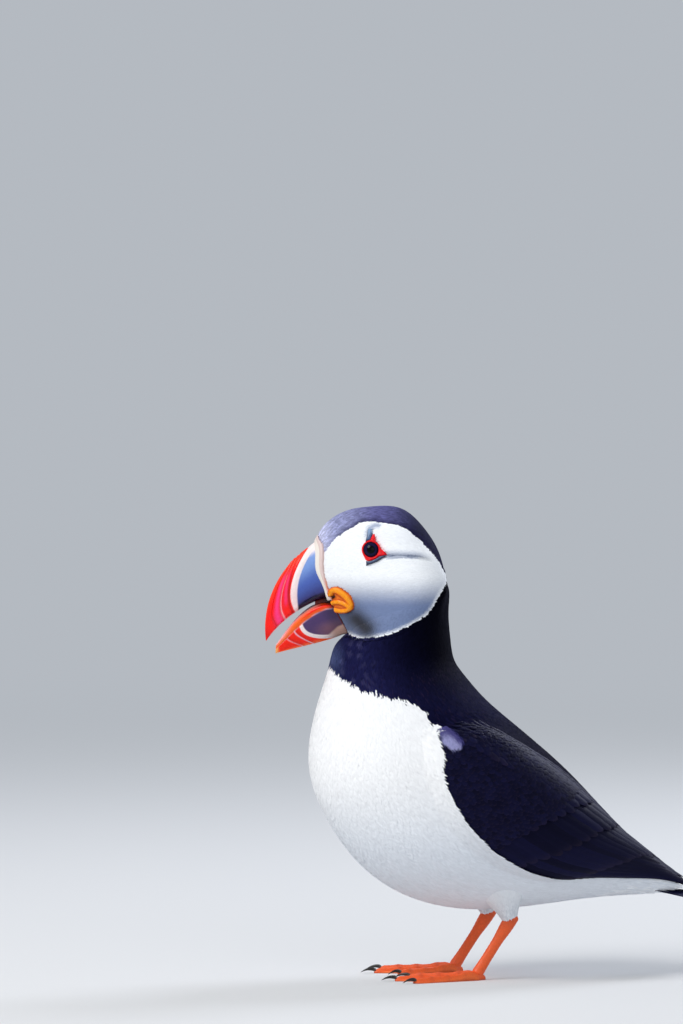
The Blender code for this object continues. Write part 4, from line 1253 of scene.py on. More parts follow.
def leg_colour(points):
    x, y, z = np.abs(points[:, 0]) - TOE_ROOT[0], points[:, 1], points[:, 2]
    away = np.hypot(x, TOE_ROOT[1] + HEEL_BEHIND - y)
    turn = np.degrees(np.arctan2(x, TOE_ROOT[1] + HEEL_BEHIND - y))
    off = np.min([np.abs(turn - a) for a, _ in TOES], axis=0) * np.radians(1) * away
    colour = mix(LEG_ORANGE, WEB_ORANGE, ease((off - 1.2) / 1.6) * (z < 4))
    joints = (sum(bell((away / 33.0 - at) / 0.035) for at in (0.36, 0.62, 0.86))
              * bell(off / 1.6) * (z < 4))
    # painted shade round the top of the bare leg, under the thigh feathers
    ankle = bell(np.linalg.norm(
        points * (1, 1, 1) - ANKLE * (np.sign(points[:, :1]) * (1, 0, 0) + (0, 1, 1)), axis=1) / 3.2)
    colour = mix(colour, LEG_DUSK, 0.45 * joints + 0.55 * ankle)
    # painted shade along the foot's lowest edge, where it meets the floor
    return mix(colour, LEG_DUSK, 0.5 * (z < 0.15))


body_tree_places = np.linspace(0, BODY_END, 150)
body_tree_angles = np.radians(np.linspace(-180, 178, 144))
tree_place, tree_angle = pairs(body_tree_places, body_tree_angles)
tree_spots = on_sections(BODY_SECTIONS, tree_place, tree_angle).reshape(-1, 3)
tree_out = outwards(BODY_SECTIONS, tree_place, tree_angle).reshape(-1, 3)
body_tree = tree_of(tree_spots)


def body_colour(points, place, angle, ragged=0.0):
    dark = is_dark(points, place, angle, ragged)
    pale = np.where((points[..., 2] > 140)[..., None], face_colour(points), white_colour(points))
    return np.where(dark[..., None], dark_colour(points), pale)


def head_colour(points, ragged=0.0):
    """Disc, crown or throat, whichever a point of the head lies in."""
    inside = disc_depth(points) + ragged > 0
    above = points[..., 2] > 168
    beyond = np.where(above[..., None], crown_colour(points), dark_colour(points))
    chin = bell(points[..., 0] / 5.0) * (points[..., 2] < 150)
    pale = mix(face_colour(points), SLATE, np.where(chin > 0.5, 1.0, 0.0))
    return np.where(inside[..., None], pale, beyond)


def skin_colour(points):
    """The plumage's pattern at points of the skin."""
    nearest = np.array([body_tree.find(p)[1] for p in points])
    place, angle, spots, ways = only(nearest, tree_place.reshape(-1), tree_angle.reshape(-1),
                                     tree_spots, tree_out)
    colour = body_colour(points, place, angle)
    high = np.flatnonzero(points[:, 2] > 138)
    to_head = np.array([face.tree.find_nearest(Vector(p))[3] for p in points[high]])
    to_body = np.linalg.norm(points[high] - spots[high], axis=1)
    on_head = high[(to_head < 1.3) & (to_head < to_body + 0.4)]
    colour[on_head] = head_colour(points[on_head])
    swollen = ((points - spots) * ways).sum(1) > 0.2
    under_wing = np.abs(np.degrees(angle)) < wing_edges(place)[1] - 1
    colour[under_wing & (place > 7.0) & swollen] = INK
    aside, z = np.abs(points[:, 0]), np.abs(points[:, 2])
    # the skin inside the open mouth at the bill's base, painted dark as shade
    gape = (points[:, 1] < face_y(points[:, 2]) + 2.2) & (aside < 7.2) & (z > 150) & (z < 163.6)
    colour[gape] = MOUTH_SHADE
    return colour


skin_points = points_of(skin_mesh)
slot_of_point = np.zeros(len(skin_points), np.int32)
slot_of_corner = np.repeat(skin_slots, read(skin_mesh.polygons, "loop_total"))
np.maximum.at(slot_of_point, read(skin_mesh.loops, "vertex_index"), slot_of_corner)
skin_tint = np.zeros((len(skin_points), 3))
for slot, colour_of in enumerate((skin_colour, lid_colour, rosette_colour, cere_colour, leg_colour)):
    chosen = slot_of_point == slot
    skin_tint[chosen] = colour_of(skin_points[chosen])
add_tint(skin_mesh, skin_tint)
skin_tree = BVHTree.FromPolygons([Vector(p) for p in skin_points],
                                 [tuple(p.vertices) for p in skin_mesh.polygons])
skin = stand("skin", skin_mesh)
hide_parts("head", "neck", "trunk", "tail", "wing_left", "wing_right", "thigh_left",
            "thigh_right",
            "tarsus_left", "tarsus_right", "foot_left", "foot_right", "bill_cere", "rosette_left",
            "rosette_right", "eyelid_left", "eyelid_right")
print("coloured", len(skin_points), "points of skin")

# %% [markdown]
# ## Eyes
# The eye is a ball seven tenths hidden in its socket, with a bulging front. Iris and pupil are rings of
# colour about the line it looks along, under a clear coat that gives the wet highlight.
# %% Eyeballs
PUPIL, IRIS, IRIS_RIM = paints("#020204 #15123a #07061a")
wet_eye = finish("wet eye", (0.05, 0.10), 0.10, (0.05, 0.01), (3000.0, 2.0), Coat_Weight=0.25,
                 Coat_Roughness=0.02, Coat_IOR=1.34, Specular_IOR_Level=0.05)
for side, word in SIDES:
    rings = ball_rings(side, EYE_RADIUS, 60, 72, bulge=0.22)
    centre, looks = eye_seats[side]
    reach = np.linalg.norm(np.cross(rings - centre, looks), axis=-1)
    streak = 0.12 * np.sin(np.linspace(0, 2 * pi * 36, 72, endpoint=False))[None, :]
    tint = mix(IRIS, IRIS_RIM, ease((reach - 2.3) / 0.9)) * (1 + streak[..., None])
    tint = mix(tint, PUPIL, ease((1.85 - reach) / 0.25))
    tint = np.concatenate([tint.reshape(-1, 3), [PUPIL, IRIS_RIM]])
    eye = stand("eyeball_" + word, tube_mesh("eyeball", rings, tint), wet_eye)
    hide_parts("eye_" + word)
print("eyeballs of", EYE_RADIUS * 2, "mm, showing", EYE_SHOWS * 2, "mm")

# %% [markdown]
# ## Horny plates round the eye
# In the breeding season two small blue-grey plates of horn grow there, a narrow one above the eye and a
# flat bar below it. Each is a separate hard shell over the face with a rounded back.
# %% Plates
HORN_DARK, HORN_BLUE, HORN_PALE = paints("#1a2744 #41618c #7f9cc0")
plate_horn = finish("blue horn of the plates", (0.30, 0.50), 0.20, (0.5, 0.05), (1800.0, 5.0),
                    Coat_Weight=0.15)


def plate(name, places, across, along, colour, slot_node, side, fades=0.0):
    """A shell over the face that is thickest along its middle and can sink in towards its far end."""
    ends = dome(np.abs(2 * along - 1)**8)
    height = 0.30 + 0.62 * dome(np.abs(2 * across - 1)**3) * ends
    height = height - fades * ease((along - 0.35) / 0.65)
    spots, normals = face.under(side, places, 0.9)
    mesh = shell_mesh(name, spots - normals * 0.5, spots + normals * height[..., None])
    add_tint(mesh, np.concatenate([colour.reshape(-1, 3)] * 2))
    piece = stand(name, mesh, plate_horn)
    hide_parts(slot_node)
    plate_outlines.append(np.concatenate([places[0], places[:, -1], places[-1, ::-1], places[::-1, 0]]))
    return piece


plate_outlines = []
for side, word in SIDES:
    across, along = np.meshgrid(np.linspace(0, 1, 19), np.linspace(0, 1, 30))
    turns = np.radians(126 + (90 - 126) * across)
    reach = lid_reach(turns) + 0.15
    foot_line = stacked(reach * np.cos(turns), reach * np.sin(turns))
    top_line = stacked(-1.45 + 1.65 * across, 8.7 + 0.3 * across - 0.3 * (2 * across - 1)**2)
    bow = stacked(0.22 * np.sin(pi * along), 0 * along)
    places = foot_line + along[..., None] * (top_line - foot_line) + bow + (EYE_Y, EYE_Z)
    colour = mix(mix(HORN_BLUE, HORN_DARK, 0.7 * bell(across / 0.3)), HORN_PALE,
                 ease((along - 0.3) / 0.6))
    plate("brow_plate_horn_" + word, places, across, along, colour, "brow_plate_" + word, side, 0.45)

    across, along = np.meshgrid(np.linspace(0, 1, 17), np.linspace(0, 1, 50))
    turns = np.radians(247 + 93 * along)
    inner = (lid_reach(turns) + 0.15)[..., None] * stacked(np.cos(turns), np.sin(turns))
    outer = stacked(-2.1 + 8.4 * along, -6.7 + 4.5 * along - 0.5 * np.sin(pi * along))
    places = inner + across[..., None] * (outer - inner) + (EYE_Y, EYE_Z)
    colour = mix(HORN_BLUE, HORN_DARK, 0.30 + 0.65 * ease((across - 0.40) / 0.4))
    colour = mix(colour, HORN_DARK, 0.8 * bell(along / 0.22))
    plate("under_eye_plate_horn_" + word, places, across, along, colour, "under_eye_plate_" + word,
          side)
print("four plates of horn")

# %% [markdown]
# ## The bill
# The upper half has a blue-grey plate with the nostril slit low on it, a raised cream ridge and a red
# front with curved grooves. The lower half repeats this in purple grey and orange. The same curves, in
# shares along the bill and down its side, place the colours and carve the grooves.
# %% Where the bill's zones meet
# the pink is painted highlight on the red front; the deep red is painted shade in and beside the grooves
RED, RED_DEEP, ORANGE_RED, PINK = paints("#fc1812 #b00a0a #ff4214 #ff4090")
CREAM, CREAM_PINK = paints("#f8e9e6 #f3bcc2")
# the blue-grey plate, painted lighter along the top and darker down the side as light and shade, and the
# nostril slit, whose dark also spreads as painted shade along the plate's lower edge
PLATE_HIGH, PLATE_MID, PLATE_LOW = paints("#7b9bd8 #4a62b0 #33306e")
NOSTRIL_AND_EDGE_SHADE = paint("#1c0f26")


def cream_front(h):
    return 0.487 - 0.395 * (1 - h)**3


def plate_front(h):
    return cream_front(h) - 0.022 - 0.125 * np.sqrt(1 - h)


def groove_at(h, number):
    """Where each groove of the red front crosses a line down the bill's side."""
    far, reach, power = ((0.515, 0.305, 2.6), (0.64, 0.395, 3.2), (0.77, 0.485, 6.0))[number]
    return far - reach * (1 - h)**power


def upper_bill_relief(s, h):
    ridge = 0.5 * (cream_front(h) + plate_front(h))
    lift = 0.30 * bell((s - ridge) / 0.050)
    lift = lift - 0.30 * bell((s - cream_front(h) - 0.006) / 0.010)
    for number, deep in enumerate((0.20, 0.36, 0.24)):
        at = groove_at(h, number)
        lift = lift - deep * bell((s - at) / 0.011) + 0.5 * deep * bell((s - at - 0.035) / 0.028)
    slit = bell((h - 0.905) / 0.030) * ease((s - 0.10) / 0.06) * ease((0.40 - s) / 0.08)
    lines = 0.018 * np.sin(s * 330) * (s > cream_front(h))
    fade = ease((1 - s) / 0.12)
    return (lift - 0.75 * slit + lines) * fade


def upper_bill_colour(s, h):
    # painted light and shade: the plate lighter along the top, darker down its side
    plate = mix(PLATE_HIGH, PLATE_MID, ease((h - 0.25) / 0.35))
    plate = mix(plate, PLATE_LOW, ease((h - 0.55) / 0.4))
    # the nostril slit, and painted shade along the plate's lower edge and underside
    plate = mix(plate, NOSTRIL_AND_EDGE_SHADE, 0.9 * ease((h - 0.855) / 0.05))
    cream = mix(CREAM, CREAM_PINK, 0.45 * ease((h - 0.2) / 0.6))
    red = mix(RED, ORANGE_RED, 0.7 * bell(h / 0.10))
    # painted highlights: pink bands on the red front
    red = mix(red, PINK, 0.75 * bell((s - groove_at(h, 1) - 0.075) / 0.055) * ease((h - 0.04) / 0.12)
              * ease((1.02 - h) / 0.15))
    red = mix(red, PINK, 0.55 * bell((s - groove_at(h, 0) - 0.045) / 0.030) * ease((h - 0.10) / 0.15)
              * ease((0.75 - h) / 0.2))
    # painted shade in the first and third grooves
    red = mix(red, RED_DEEP, 0.75 * bell((s - groove_at(h, 0)) / 0.016) * ease((h - 0.1) / 0.2))
    red = mix(red, paint("#ffb0b8"), 0.85 * bell((s - groove_at(h, 1)) / 0.011) * ease((h - 0.05) / 0.15))
    red = mix(red, RED_DEEP, 0.45 * bell((s - groove_at(h, 2)) / 0.016) * ease((h - 0.3) / 0.3))
    red = mix(red, paint("#e01206"), ease((s - 0.86) / 0.1))
    edge = 0.012
    colour = mix(plate, cream, ease((s - plate_front(h) + edge) / (2 * edge)))
    colour = mix(colour, cream, ease((0.20 - h) / 0.12) * (s < cream_front(h)))
    return mix(colour, red, ease((s - cream_front(h) + edge) / (2 * edge)))


grown_horn = finish("grown horn of the bill", (0.28, 0.44), 0.10, (0.35, 0.05), (900.0, 7.0),
                    Coat_Weight=0.10, Coat_Roughness=0.25, Specular_IOR_Level=0.22)


def guided_shares(guides, counts):
    """Rows of shares along the bill that follow its zones' boundaries and gather close to them."""
    rows = []
    for near, far, count in zip(guides, guides[1:], counts):
        step = (1 - np.cos(np.linspace(0, pi, count, endpoint=False)))[:, None] / 2
        rows.append(near + step * (far - near))
    return np.concatenate(rows + [guides[-1][None]])


def bill_piece(name, rings, s, h, relief, colours, node):
    """Stands half a bill, carved by its relief and painted by its colours."""
    under = ease((h - 0.97) / 0.03)
    carved = swell(rings, relief(s, h) * (1 - under))
    tint = colours(s, h)
    tint = np.concatenate([tint.reshape(-1, 3), [tint[0].mean(0)], [tint[-1].mean(0)]])
    piece = stand(name, tube_mesh(name, carved, tint), grown_horn)
    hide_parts(node)
    print(name, len(piece.data.polygons), "faces")


down, _ = share_down(144, 0.9)
guides = [np.full(144, 0.004)]
for at in (plate_front(down), cream_front(down), groove_at(down, 0), groove_at(down, 1),
           groove_at(down, 2)):
    guides.append(np.maximum(at, guides[-1] + 0.010))
guides.append(np.full(144, 1.0))
s_grid = guided_shares(guides, (30, 22, 24, 26, 28, 56))
rings, h_grid = bill_grid(CULMEN, UPPER_EDGE, UPPER_HALF_WIDTHS, s_grid, 144, 0.9)
bill_piece("upper_bill", rings, s_grid, h_grid, upper_bill_relief, upper_bill_colour, "bill_upper")


# %% The lower bill
LOWER_PLATE, LOWER_PLATE_WARM, BEIGE = paints("#4e3868 #7c5468 #d2a898")
LOWER_RED, LOWER_ORANGE, BILL_LILAC = paints("#ff1c00 #ff681c #e9cfe0")
LOWER_STEM = paint("#7a1c08")


def strip_edge(s):
    """How far down the side the orange strip along the mouth reaches."""
    return 0.17 + 0.16 * s + 0.17 * s**8


def oval(s, h, long, tall):
    return (np.abs(s) / long)**2.4 + (np.abs(h - 0.36) / tall)**2.4


def lower_groove_at(h, number):
    far = (0.655, 0.79)[number]
    return far - 0.3 * np.clip(h - 0.35, 0, 1)**1.6


def lower_bill_relief(s, h):
    below = ease((h - strip_edge(s)) / 0.03)
    lift = -0.28 * bell((h - strip_edge(s)) / 0.025)
    lift = lift + 0.24 * below * bell((oval(s, h, 0.535, 0.60) - 1) / 0.18)
    for number in (0, 1):
        at = lower_groove_at(h, number)
        lift = lift - 0.28 * below * bell((s - at) / 0.012) + 0.12 * below * bell((s - at - 0.035) / 0.03)
    lines = 0.016 * np.sin(s * 300) * below
    return (lift + lines) * ease((1 - s) / 0.12)


def lower_bill_colour(s, h):
    strip = mix(LOWER_ORANGE, LOWER_RED, bell((h - 0.55 * strip_edge(s)) / 0.05) * ease((0.6 - s) / 0.3))
    strip = mix(strip, paint("#8e0f08"), 0.8 * bell((h - 0.35 * strip_edge(s)) / 0.03) * ease((0.35 - s) / 0.2))
    strip = mix(strip, CREAM_PINK, 0.9 * bell(h / 0.055) * ease((s - 0.12) / 0.15))
    strip = mix(strip, CREAM_PINK, 0.75 * ease((s - 0.62) / 0.25) * bell(h / 0.16))
    strip = mix(strip, paint("#3a0c10"), ease((0.10 - s) / 0.08))
    plate = mix(LOWER_PLATE, LOWER_PLATE_WARM, ease((h - 0.42) / 0.3) * ease((0.5 - s) / 0.3))
    plate = mix(plate, paint("#2c2444"), 0.6 * bell(h - strip_edge(s) - 0.03) * ease((0.25 - s) / 0.2))
    border = mix(CREAM, BEIGE, ease((0.36 - s) / 0.22))
    red = mix(LOWER_RED, LOWER_ORANGE, 0.8 * ease((h - 0.86) / 0.12))
    for number in (0, 1):
        red = mix(red, BILL_LILAC, (0.8, 0.5)[number] * bell((s - lower_groove_at(h, number)) / 0.010))
        # painted shade: darker red just behind each groove
        red = mix(red, RED_DEEP, 0.4 * bell((s - lower_groove_at(h, number) + 0.03) / 0.02))
    red = mix(red, paint("#ffb060"), ease((s - 0.93) / 0.06))
    lower_limit = np.where(s < 0.25, 0.70 + 0.75 * s, 2.0)
    in_plate = ease((1.04 - oval(s, h, 0.512, 0.55)) / 0.08) * ease((lower_limit - h) / 0.05)
    in_border = ease((1.04 - oval(s, h, 0.565, 0.66)) / 0.08)
    side = mix(red, border, in_border)
    side = mix(side, plate, in_plate)
    side = mix(side, BILL_LILAC, 0.8 * bell((h - strip_edge(s)) / 0.022) * ease((s - 0.02) / 0.06))
    colour = mix(strip, side, ease((h - strip_edge(s)) / 0.02))
    return mix(colour, LOWER_STEM, 0.85 * ease((0.045 - s) / 0.025))


def oval_front(h, long, tall):
    return long * np.clip(1 - np.abs((h - 0.36) / tall)**2.4, 0, 1)**(1 / 2.4)


down, _ = share_down(176, 0.14)
guides = [np.zeros(176)]
for at in (oval_front(down, 0.512, 0.55), oval_front(down, 0.565, 0.66), lower_groove_at(down, 0),
           lower_groove_at(down, 1)):
    guides.append(np.maximum(at, guides[-1] + 0.030))
guides.append(np.full(176, 1.0))
s_grid = guided_shares(guides, (48, 18, 24, 26, 34))
rings, h_grid = bill_grid(LOWER_EDGE, GONYS, LOWER_HALF_WIDTHS, s_grid, 176, 0.14)
seat = ease((0.10 - s_grid) / 0.10)
rings[..., 1] = rings[..., 1] + seat * (face_y(rings[..., 2]) + 0.25 - rings[..., 1])
bill_piece("lower_bill", rings, s_grid, h_grid, lower_bill_relief, lower_bill_colour, "bill_lower")


# %% [markdown]
# ## Inside the mouth
# The bill is open, so its base must not be see-through. Its lining is one soft wedge between the two
# halves, narrower than they are, and rounded off in front, painted dark red as the shade inside the
# mouth, darkest at the back.
# %% Lining of the mouth
LINING_SHARE, LINING_REACH = 0.21, 0.9
# dark red, darkest at the back: painted shade inside the open mouth
LINING_BACK, LINING_FRONT = paints("#2a0606 #64120c")
share, turns = pairs(np.linspace(-0.10, LINING_SHARE, 28), full_turn(48))
roof, floor_of_mouth = bezier(UPPER_EDGE, share), bezier(LOWER_EDGE, share)
aside = np.sign(np.sin(turns)) * np.abs(np.sin(turns))**0.6
upright = np.sign(np.cos(turns)) * np.abs(np.cos(turns))**0.6
middle, tall = (roof + floor_of_mouth) / 2, np.abs(roof - floor_of_mouth)[..., 1] / 2 + LINING_REACH
width = 4.6 * (1 - 0.25 * share / LINING_SHARE)
folds = 0.10 * np.sin(9 * turns + 20 * share)
rings = stacked(width * aside, middle[..., 0] + 1.1 * (1 - np.abs(aside)) * ease(share / LINING_SHARE),
                  middle[..., 1] + (tall + folds) * upright)
tint = mix(LINING_BACK, LINING_FRONT, ease(share / LINING_SHARE)).reshape(-1, 3)
mouth = stand("mouth_lining", tube_mesh("mouth_lining", rings, np.vstack([tint, tint[:1], tint[-1:]])),
              mouth_skin)
print("the lining reaches", round(float(rings[..., 1].max() - rings[..., 1].min()), 1),
      "mm into the bill")

# %% [markdown]
# ## Claws
# Six short black claws, blunt from digging burrows. Each is a tapering loft that bends down, rounded on
# top and flatter below, and ends just clear of the floor.
# %% Claws
CLAW_BLACK, CLAW_GREY = paints("#17140f #4a4340")
claw_horn = finish("claw horn", (0.30, 0.55), 0.30, (0.5, 0.05), (1600.0, 6.0), Coat_Weight=0.1)


def claw(side, degrees, length):
    angle = radians(degrees)
    ahead = np.array((side * sin(angle), -cos(angle), 0))
    across = np.array((side * cos(angle), sin(angle), 0))
    start = np.array((side * TOE_ROOT[0], TOE_ROOT[1] + HEEL_BEHIND,
                      0)) + ahead * (length + HEEL_BEHIND - 0.7)
    share = np.linspace(0, 0.995, 34)[:, None]
    turns = full_turn(28)[None, :]
    radius = 1.05 * (1 - share)**0.72 * (0.75 + 0.25 * ease(share / 0.15))
    middle = 1.35 + 0.55 * np.sin(pi * share) - 0.95 * share**2
    groove = 1 - 0.10 * bell((np.sin(turns) + 0.2) / 0.18)
    side_out = radius * 0.85 * np.cos(turns) * groove
    up = radius * np.where(np.sin(turns) > 0, 1.0, 0.72) * np.sin(turns)
    rings = (start + ahead * ((CLAW_LENGTH + 0.7) * share)[..., None] + side_out[..., None] * across
             + (middle + up)[..., None] * np.array((0, 0, 1.0)))
    tint = mix(CLAW_GREY, CLAW_BLACK, ease((share + 0 * turns) / 0.25))
    return rings, np.concatenate([tint.reshape(-1, 3), [CLAW_GREY, CLAW_BLACK]])


for side, word in SIDES:
    for (degrees, length), toe in zip(TOES, ("inner", "middle", "outer")):
        rings, tint = claw(side, degrees, length)
        piece = stand(f"claw_horn_{word}_{toe}", tube_mesh("claw", rings, tint), claw_horn)
        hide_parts(f"claw_{word}_{toe}")
print("lowest claw tip:", round(float(rings[..., 2].min()), 2), "mm above the floor")

# %% [markdown]
# ## How the coat is laid
# Hair strands are not solid, and feathers are not hairs. So each small feather is a closed kite of ten
# faces: narrow at its root in the skin, widest before the middle, pointed, with a low ridge for its
# shaft. Thousands overlap like tiles and lie back along the body.
# %% Spread the roots evenly
GOLDEN = (sqrt(5) - 1) / 2


def scatter(surface, places, angles, pitch, seed, fine=(150, 120)):
    """Roots spread evenly by area over a stretch of a surface, pitch millimetres apart."""
    p, a = np.linspace(*places, fine[0] + 1), np.linspace(*angles, fine[1] + 1)
    grid = surface(p[:, None] + 0 * a, a + 0 * p[:, None], 0.0)
    area = np.linalg.norm(np.cross(grid[1:, :-1] - grid[:-1, :-1], grid[:-1, 1:] - grid[:-1, :-1]),
                          axis=-1)
    want = area / (pitch(grid[:-1, :-1]) if callable(pitch) else pitch)**2
    total = int(want.sum())
    rows = np.concatenate([[0], np.cumsum(want.sum(1))]) / want.sum()
    u = (np.arange(total) + 0.5) / total
    place = np.interp(u, rows, p)
    row = np.clip(np.searchsorted(rows, u) - 1, 0, fine[0] - 1)
    along_row = np.concatenate([np.zeros((fine[0], 1)), np.cumsum(want, axis=1)], axis=1)
    along_row /= np.maximum(along_row[:, -1:], 1e-12)
    v = (np.arange(total) * GOLDEN) % 1.0
    angle = np.empty(total)
    for r in np.unique(row):
        angle[row == r] = np.interp(v[row == r], along_row[r], a)
    rng = np.random.default_rng(seed)
    along, around = measures(surface, place, angle)
    gap = pitch(surface(place, angle, 0.0)) if callable(pitch) else pitch
    place = np.clip(place + rng.uniform(-0.3, 0.3, total) * gap / along, *places)
    angle = angle + rng.uniform(-0.3, 0.3, total) * gap / around
    return place, angle, np.broadcast_to(gap, place.shape), rng


def measures(surface, place, angle):
    """Millimetres to a unit of place and to a unit of angle."""
    step = 1e-3
    along = np.linalg.norm(surface(place + step, angle, 0.0) - surface(place - step, angle, 0.0),
                           axis=-1)
    around = np.linalg.norm(surface(place, angle + step, 0.0) - surface(place, angle - step, 0.0),
                            axis=-1)
    return np.maximum(along / (2 * step), 1.0), np.maximum(around / (2 * step), 1.0)


def ahead(surface, place, angle, turn, length):
    """The step in place and angle that a feather takes over its length, and the one to its side."""
    along, around = measures(surface, place, angle)
    forward = stacked(np.cos(turn) / along, np.sin(turn) / around) * length[..., None]
    beside = stacked(-np.sin(turn) / along, np.cos(turn) / around)
    return forward, beside


test_place, *_ = scatter(body_surface, (5.0, 9.0), (2.0, 3.0), 1.5, 1)
print("a trial patch of the breast takes", len(test_place), "roots")


# %% Which roots grow
def nearest_skin(points):
    """Distance to the skin and the finish of the skin there."""
    found = [skin_tree.find_nearest(Vector(p)) for p in points]
    return np.array([f[3] for f in found]), skin_slots[[f[2] for f in found]]


def on_plumage(points, reach):
    """True for points on feathered skin, at most reach away from it."""
    away, slot = nearest_skin(points)
    return (away < reach) & (slot == 0)


def on_bare(points):
    """True for points of the head that lie on a lid, a horny plate or the rosette."""
    dy, dz = points[..., 1] - EYE_Y, points[..., 2] - EYE_Z
    covered = np.hypot(dy, dz) < lid_reach(np.arctan2(dz, dy)) - 0.10
    for outline in plate_outlines:
        covered |= inside_outline(points[..., 1:3], outline)
    offsets = points[..., 1:3] - (ROSETTE_Y, ROSETTE_Z)
    near = np.linalg.norm(offsets, axis=-1) < 9
    covered[near] |= rosette_height(offsets[near])[0] > 0.35
    return covered


def tips_of(place, angle, turn, length):
    """Where the tips of feathers on the head come to lie."""
    forward, _ = ahead(head_surface, place, angle, turn, length)
    return head_surface(place + forward[:, 0], angle + forward[:, 1], 0.1)


def shown_end(surface, place, angle, turn, length, furthest=99.0):
    """Where the part of each feather that shows lies: near its tip, as place, angle and point."""
    forward, _ = ahead(surface, place, angle, turn, length)
    place, angle = np.minimum(place + 0.8 * forward[:, 0], furthest), angle + 0.8 * forward[:, 1]
    return place, angle, surface(place, angle, 0.0)


# %% Make a tract of small feathers
KITE = np.array([(0, -0.7), (0, 0.7), (0, 0), (0.42, -1), (0.42, 1), (0.42, 0), (1, 0)])  # along, across
KITE_RIDGE = np.array([0, 0, 0.7, 0, 0, 1.0, 0.10])
FEATHER_WIDE = 2.25  # times the distance between two roots
KITE_QUADS = np.array([(2, 1, 4, 5), (0, 2, 5, 3), (0, 3, 4, 1)])
KITE_TRIANGLES = np.array([(5, 4, 6), (3, 5, 6), (3, 6, 4), (0, 1, 2)])
KITE_PATCH = np.array([(-0.3, -0.5), (0.3, -0.5), (0, -0.3), (-0.5, 0), (0.5, 0), (0, 0.1), (0, 0.5)])
PATCH = 0.003


def coat_uv(mesh, name, spots):
    """A UV map from one spot for each point of the mesh."""
    layer = mesh.uv_layers.new(name=name)
    corners = read(mesh.loops, "vertex_index")
    layer.data.foreach_set("uv", spots[corners].astype(np.float32).reshape(-1))


def unwrap(place, angle):
    """The tract's own flat layout: place and angle, spread over most of the square."""
    flat = stacked(angle, place)
    low, high = flat.min(0), flat.max(0)
    return 0.03 + 0.94 * (flat - low) / np.maximum(high - low, 1e-9)


def left_handed(surface, place, angle):
    """True where place, angle and outwards run the wrong way round, as on a mirrored side."""
    middle = surface(place, angle, 0.0)
    along = surface(place + 1e-3, angle, 0.0) - middle
    around = surface(place, angle + 1e-3, 0.0) - middle
    return (np.cross(around, along) * (surface(place, angle, 1.0) - middle)).sum() < 0


def kites(name, surface, rng, plumage, feathers, chosen=slice(None)):
    """One coat piece of closed kite feathers, rooted at depth and with their tips proud."""
    place, angle, turn, length, width, depth, proud, colour = only(chosen, *feathers)
    forward, beside = ahead(surface, place, angle, turn, length)
    t, across = KITE[:, 0], KITE[:, 1]
    spot = (stacked(place, angle)[:, None] + t[None, :, None] * forward[:, None]
            + (across[None, :] * 0.5 * width[:, None])[..., None] * beside[:, None])
    rise = 1 - (1 - t)**4
    lift = -(depth + 0.08)[:, None] * (1 - rise)[None] + proud[:, None] * t[None]
    lift = lift + KITE_RIDGE[None] * (0.03 + 0.04 * width)[:, None]
    points = surface(spot[..., 0], spot[..., 1], lift).reshape(-1, 3)
    # painted shade: each feather a little darker at its root, where it lies under its neighbours
    shade = np.array([0.93, 0.93, 0.94, 0.99, 0.99, 1.0, 1.01])
    tint = (colour[:, None] * shade[None, :, None]).reshape(-1, 3)
    start = 7 * np.arange(len(place))[:, None, None]
    order = -1 if left_handed(surface, place[:1], angle[:1]) else 1
    mesh = mesh_of(name, points, [(KITE_QUADS[None, :, ::order] + start).reshape(-1, 4),
                                  (KITE_TRIANGLES[None, :, ::order] + start).reshape(-1, 3)], tint)
    patches = unwrap(place, angle)[:, None] + PATCH * KITE_PATCH[None]
    coat_uv(mesh, "OFBake", patches.reshape(-1, 2))
    barbs = stacked(np.abs(across)[None] * width[:, None], t[None] * length[:, None])
    coat_uv(mesh, "barbs", (barbs + rng.uniform(0, 9, (len(place), 1, 1))).reshape(-1, 2))
    mesh.set_sharp_from_angle(angle=radians(55))
    piece = stand(name, mesh, white_feathers if plumage == "white" else black_feathers)
    coat_triangles[name] = 10 * len(place)
    print(f"{name}: {len(place)} feathers, {coat_triangles[name]} triangles")


coat_triangles = {}

# %% [markdown]
# ## What feathers are made of
# A feather is matt, but its barbs catch light along their length, and black ones hold a blue sheen. The
# bump slants out from the shaft like real barbs: it reads a second UV map in millimetres from the shaft.
# %% Feather finishes
def feather_finish(name, roughness, mottle, barbs_apart, bump, **even):
    """A finish for feathers: tint, mottling, and barbs that slant out from the shaft."""
    made = finish(name, roughness, mottle, (0.0, 0.0), (420.0, 5.0), **even)
    tree = made.node_tree
    barbs = {"Vector": node(tree, "UVMap", {}, "UV", uv_map="barbs"), "Scale": 0.314 / barbs_apart,
             "Distortion": 1.2, "Detail Scale": 0.6}
    barbs = node(tree, "TexWave", barbs, "Fac", wave_type="BANDS", bands_direction="DIAGONAL")
    relief = [n for n in tree.nodes if n.type == "BUMP"][0]
    feed(tree, relief, {"Strength": bump[0], "Distance": bump[1] * MM, "Height": barbs})
    return made


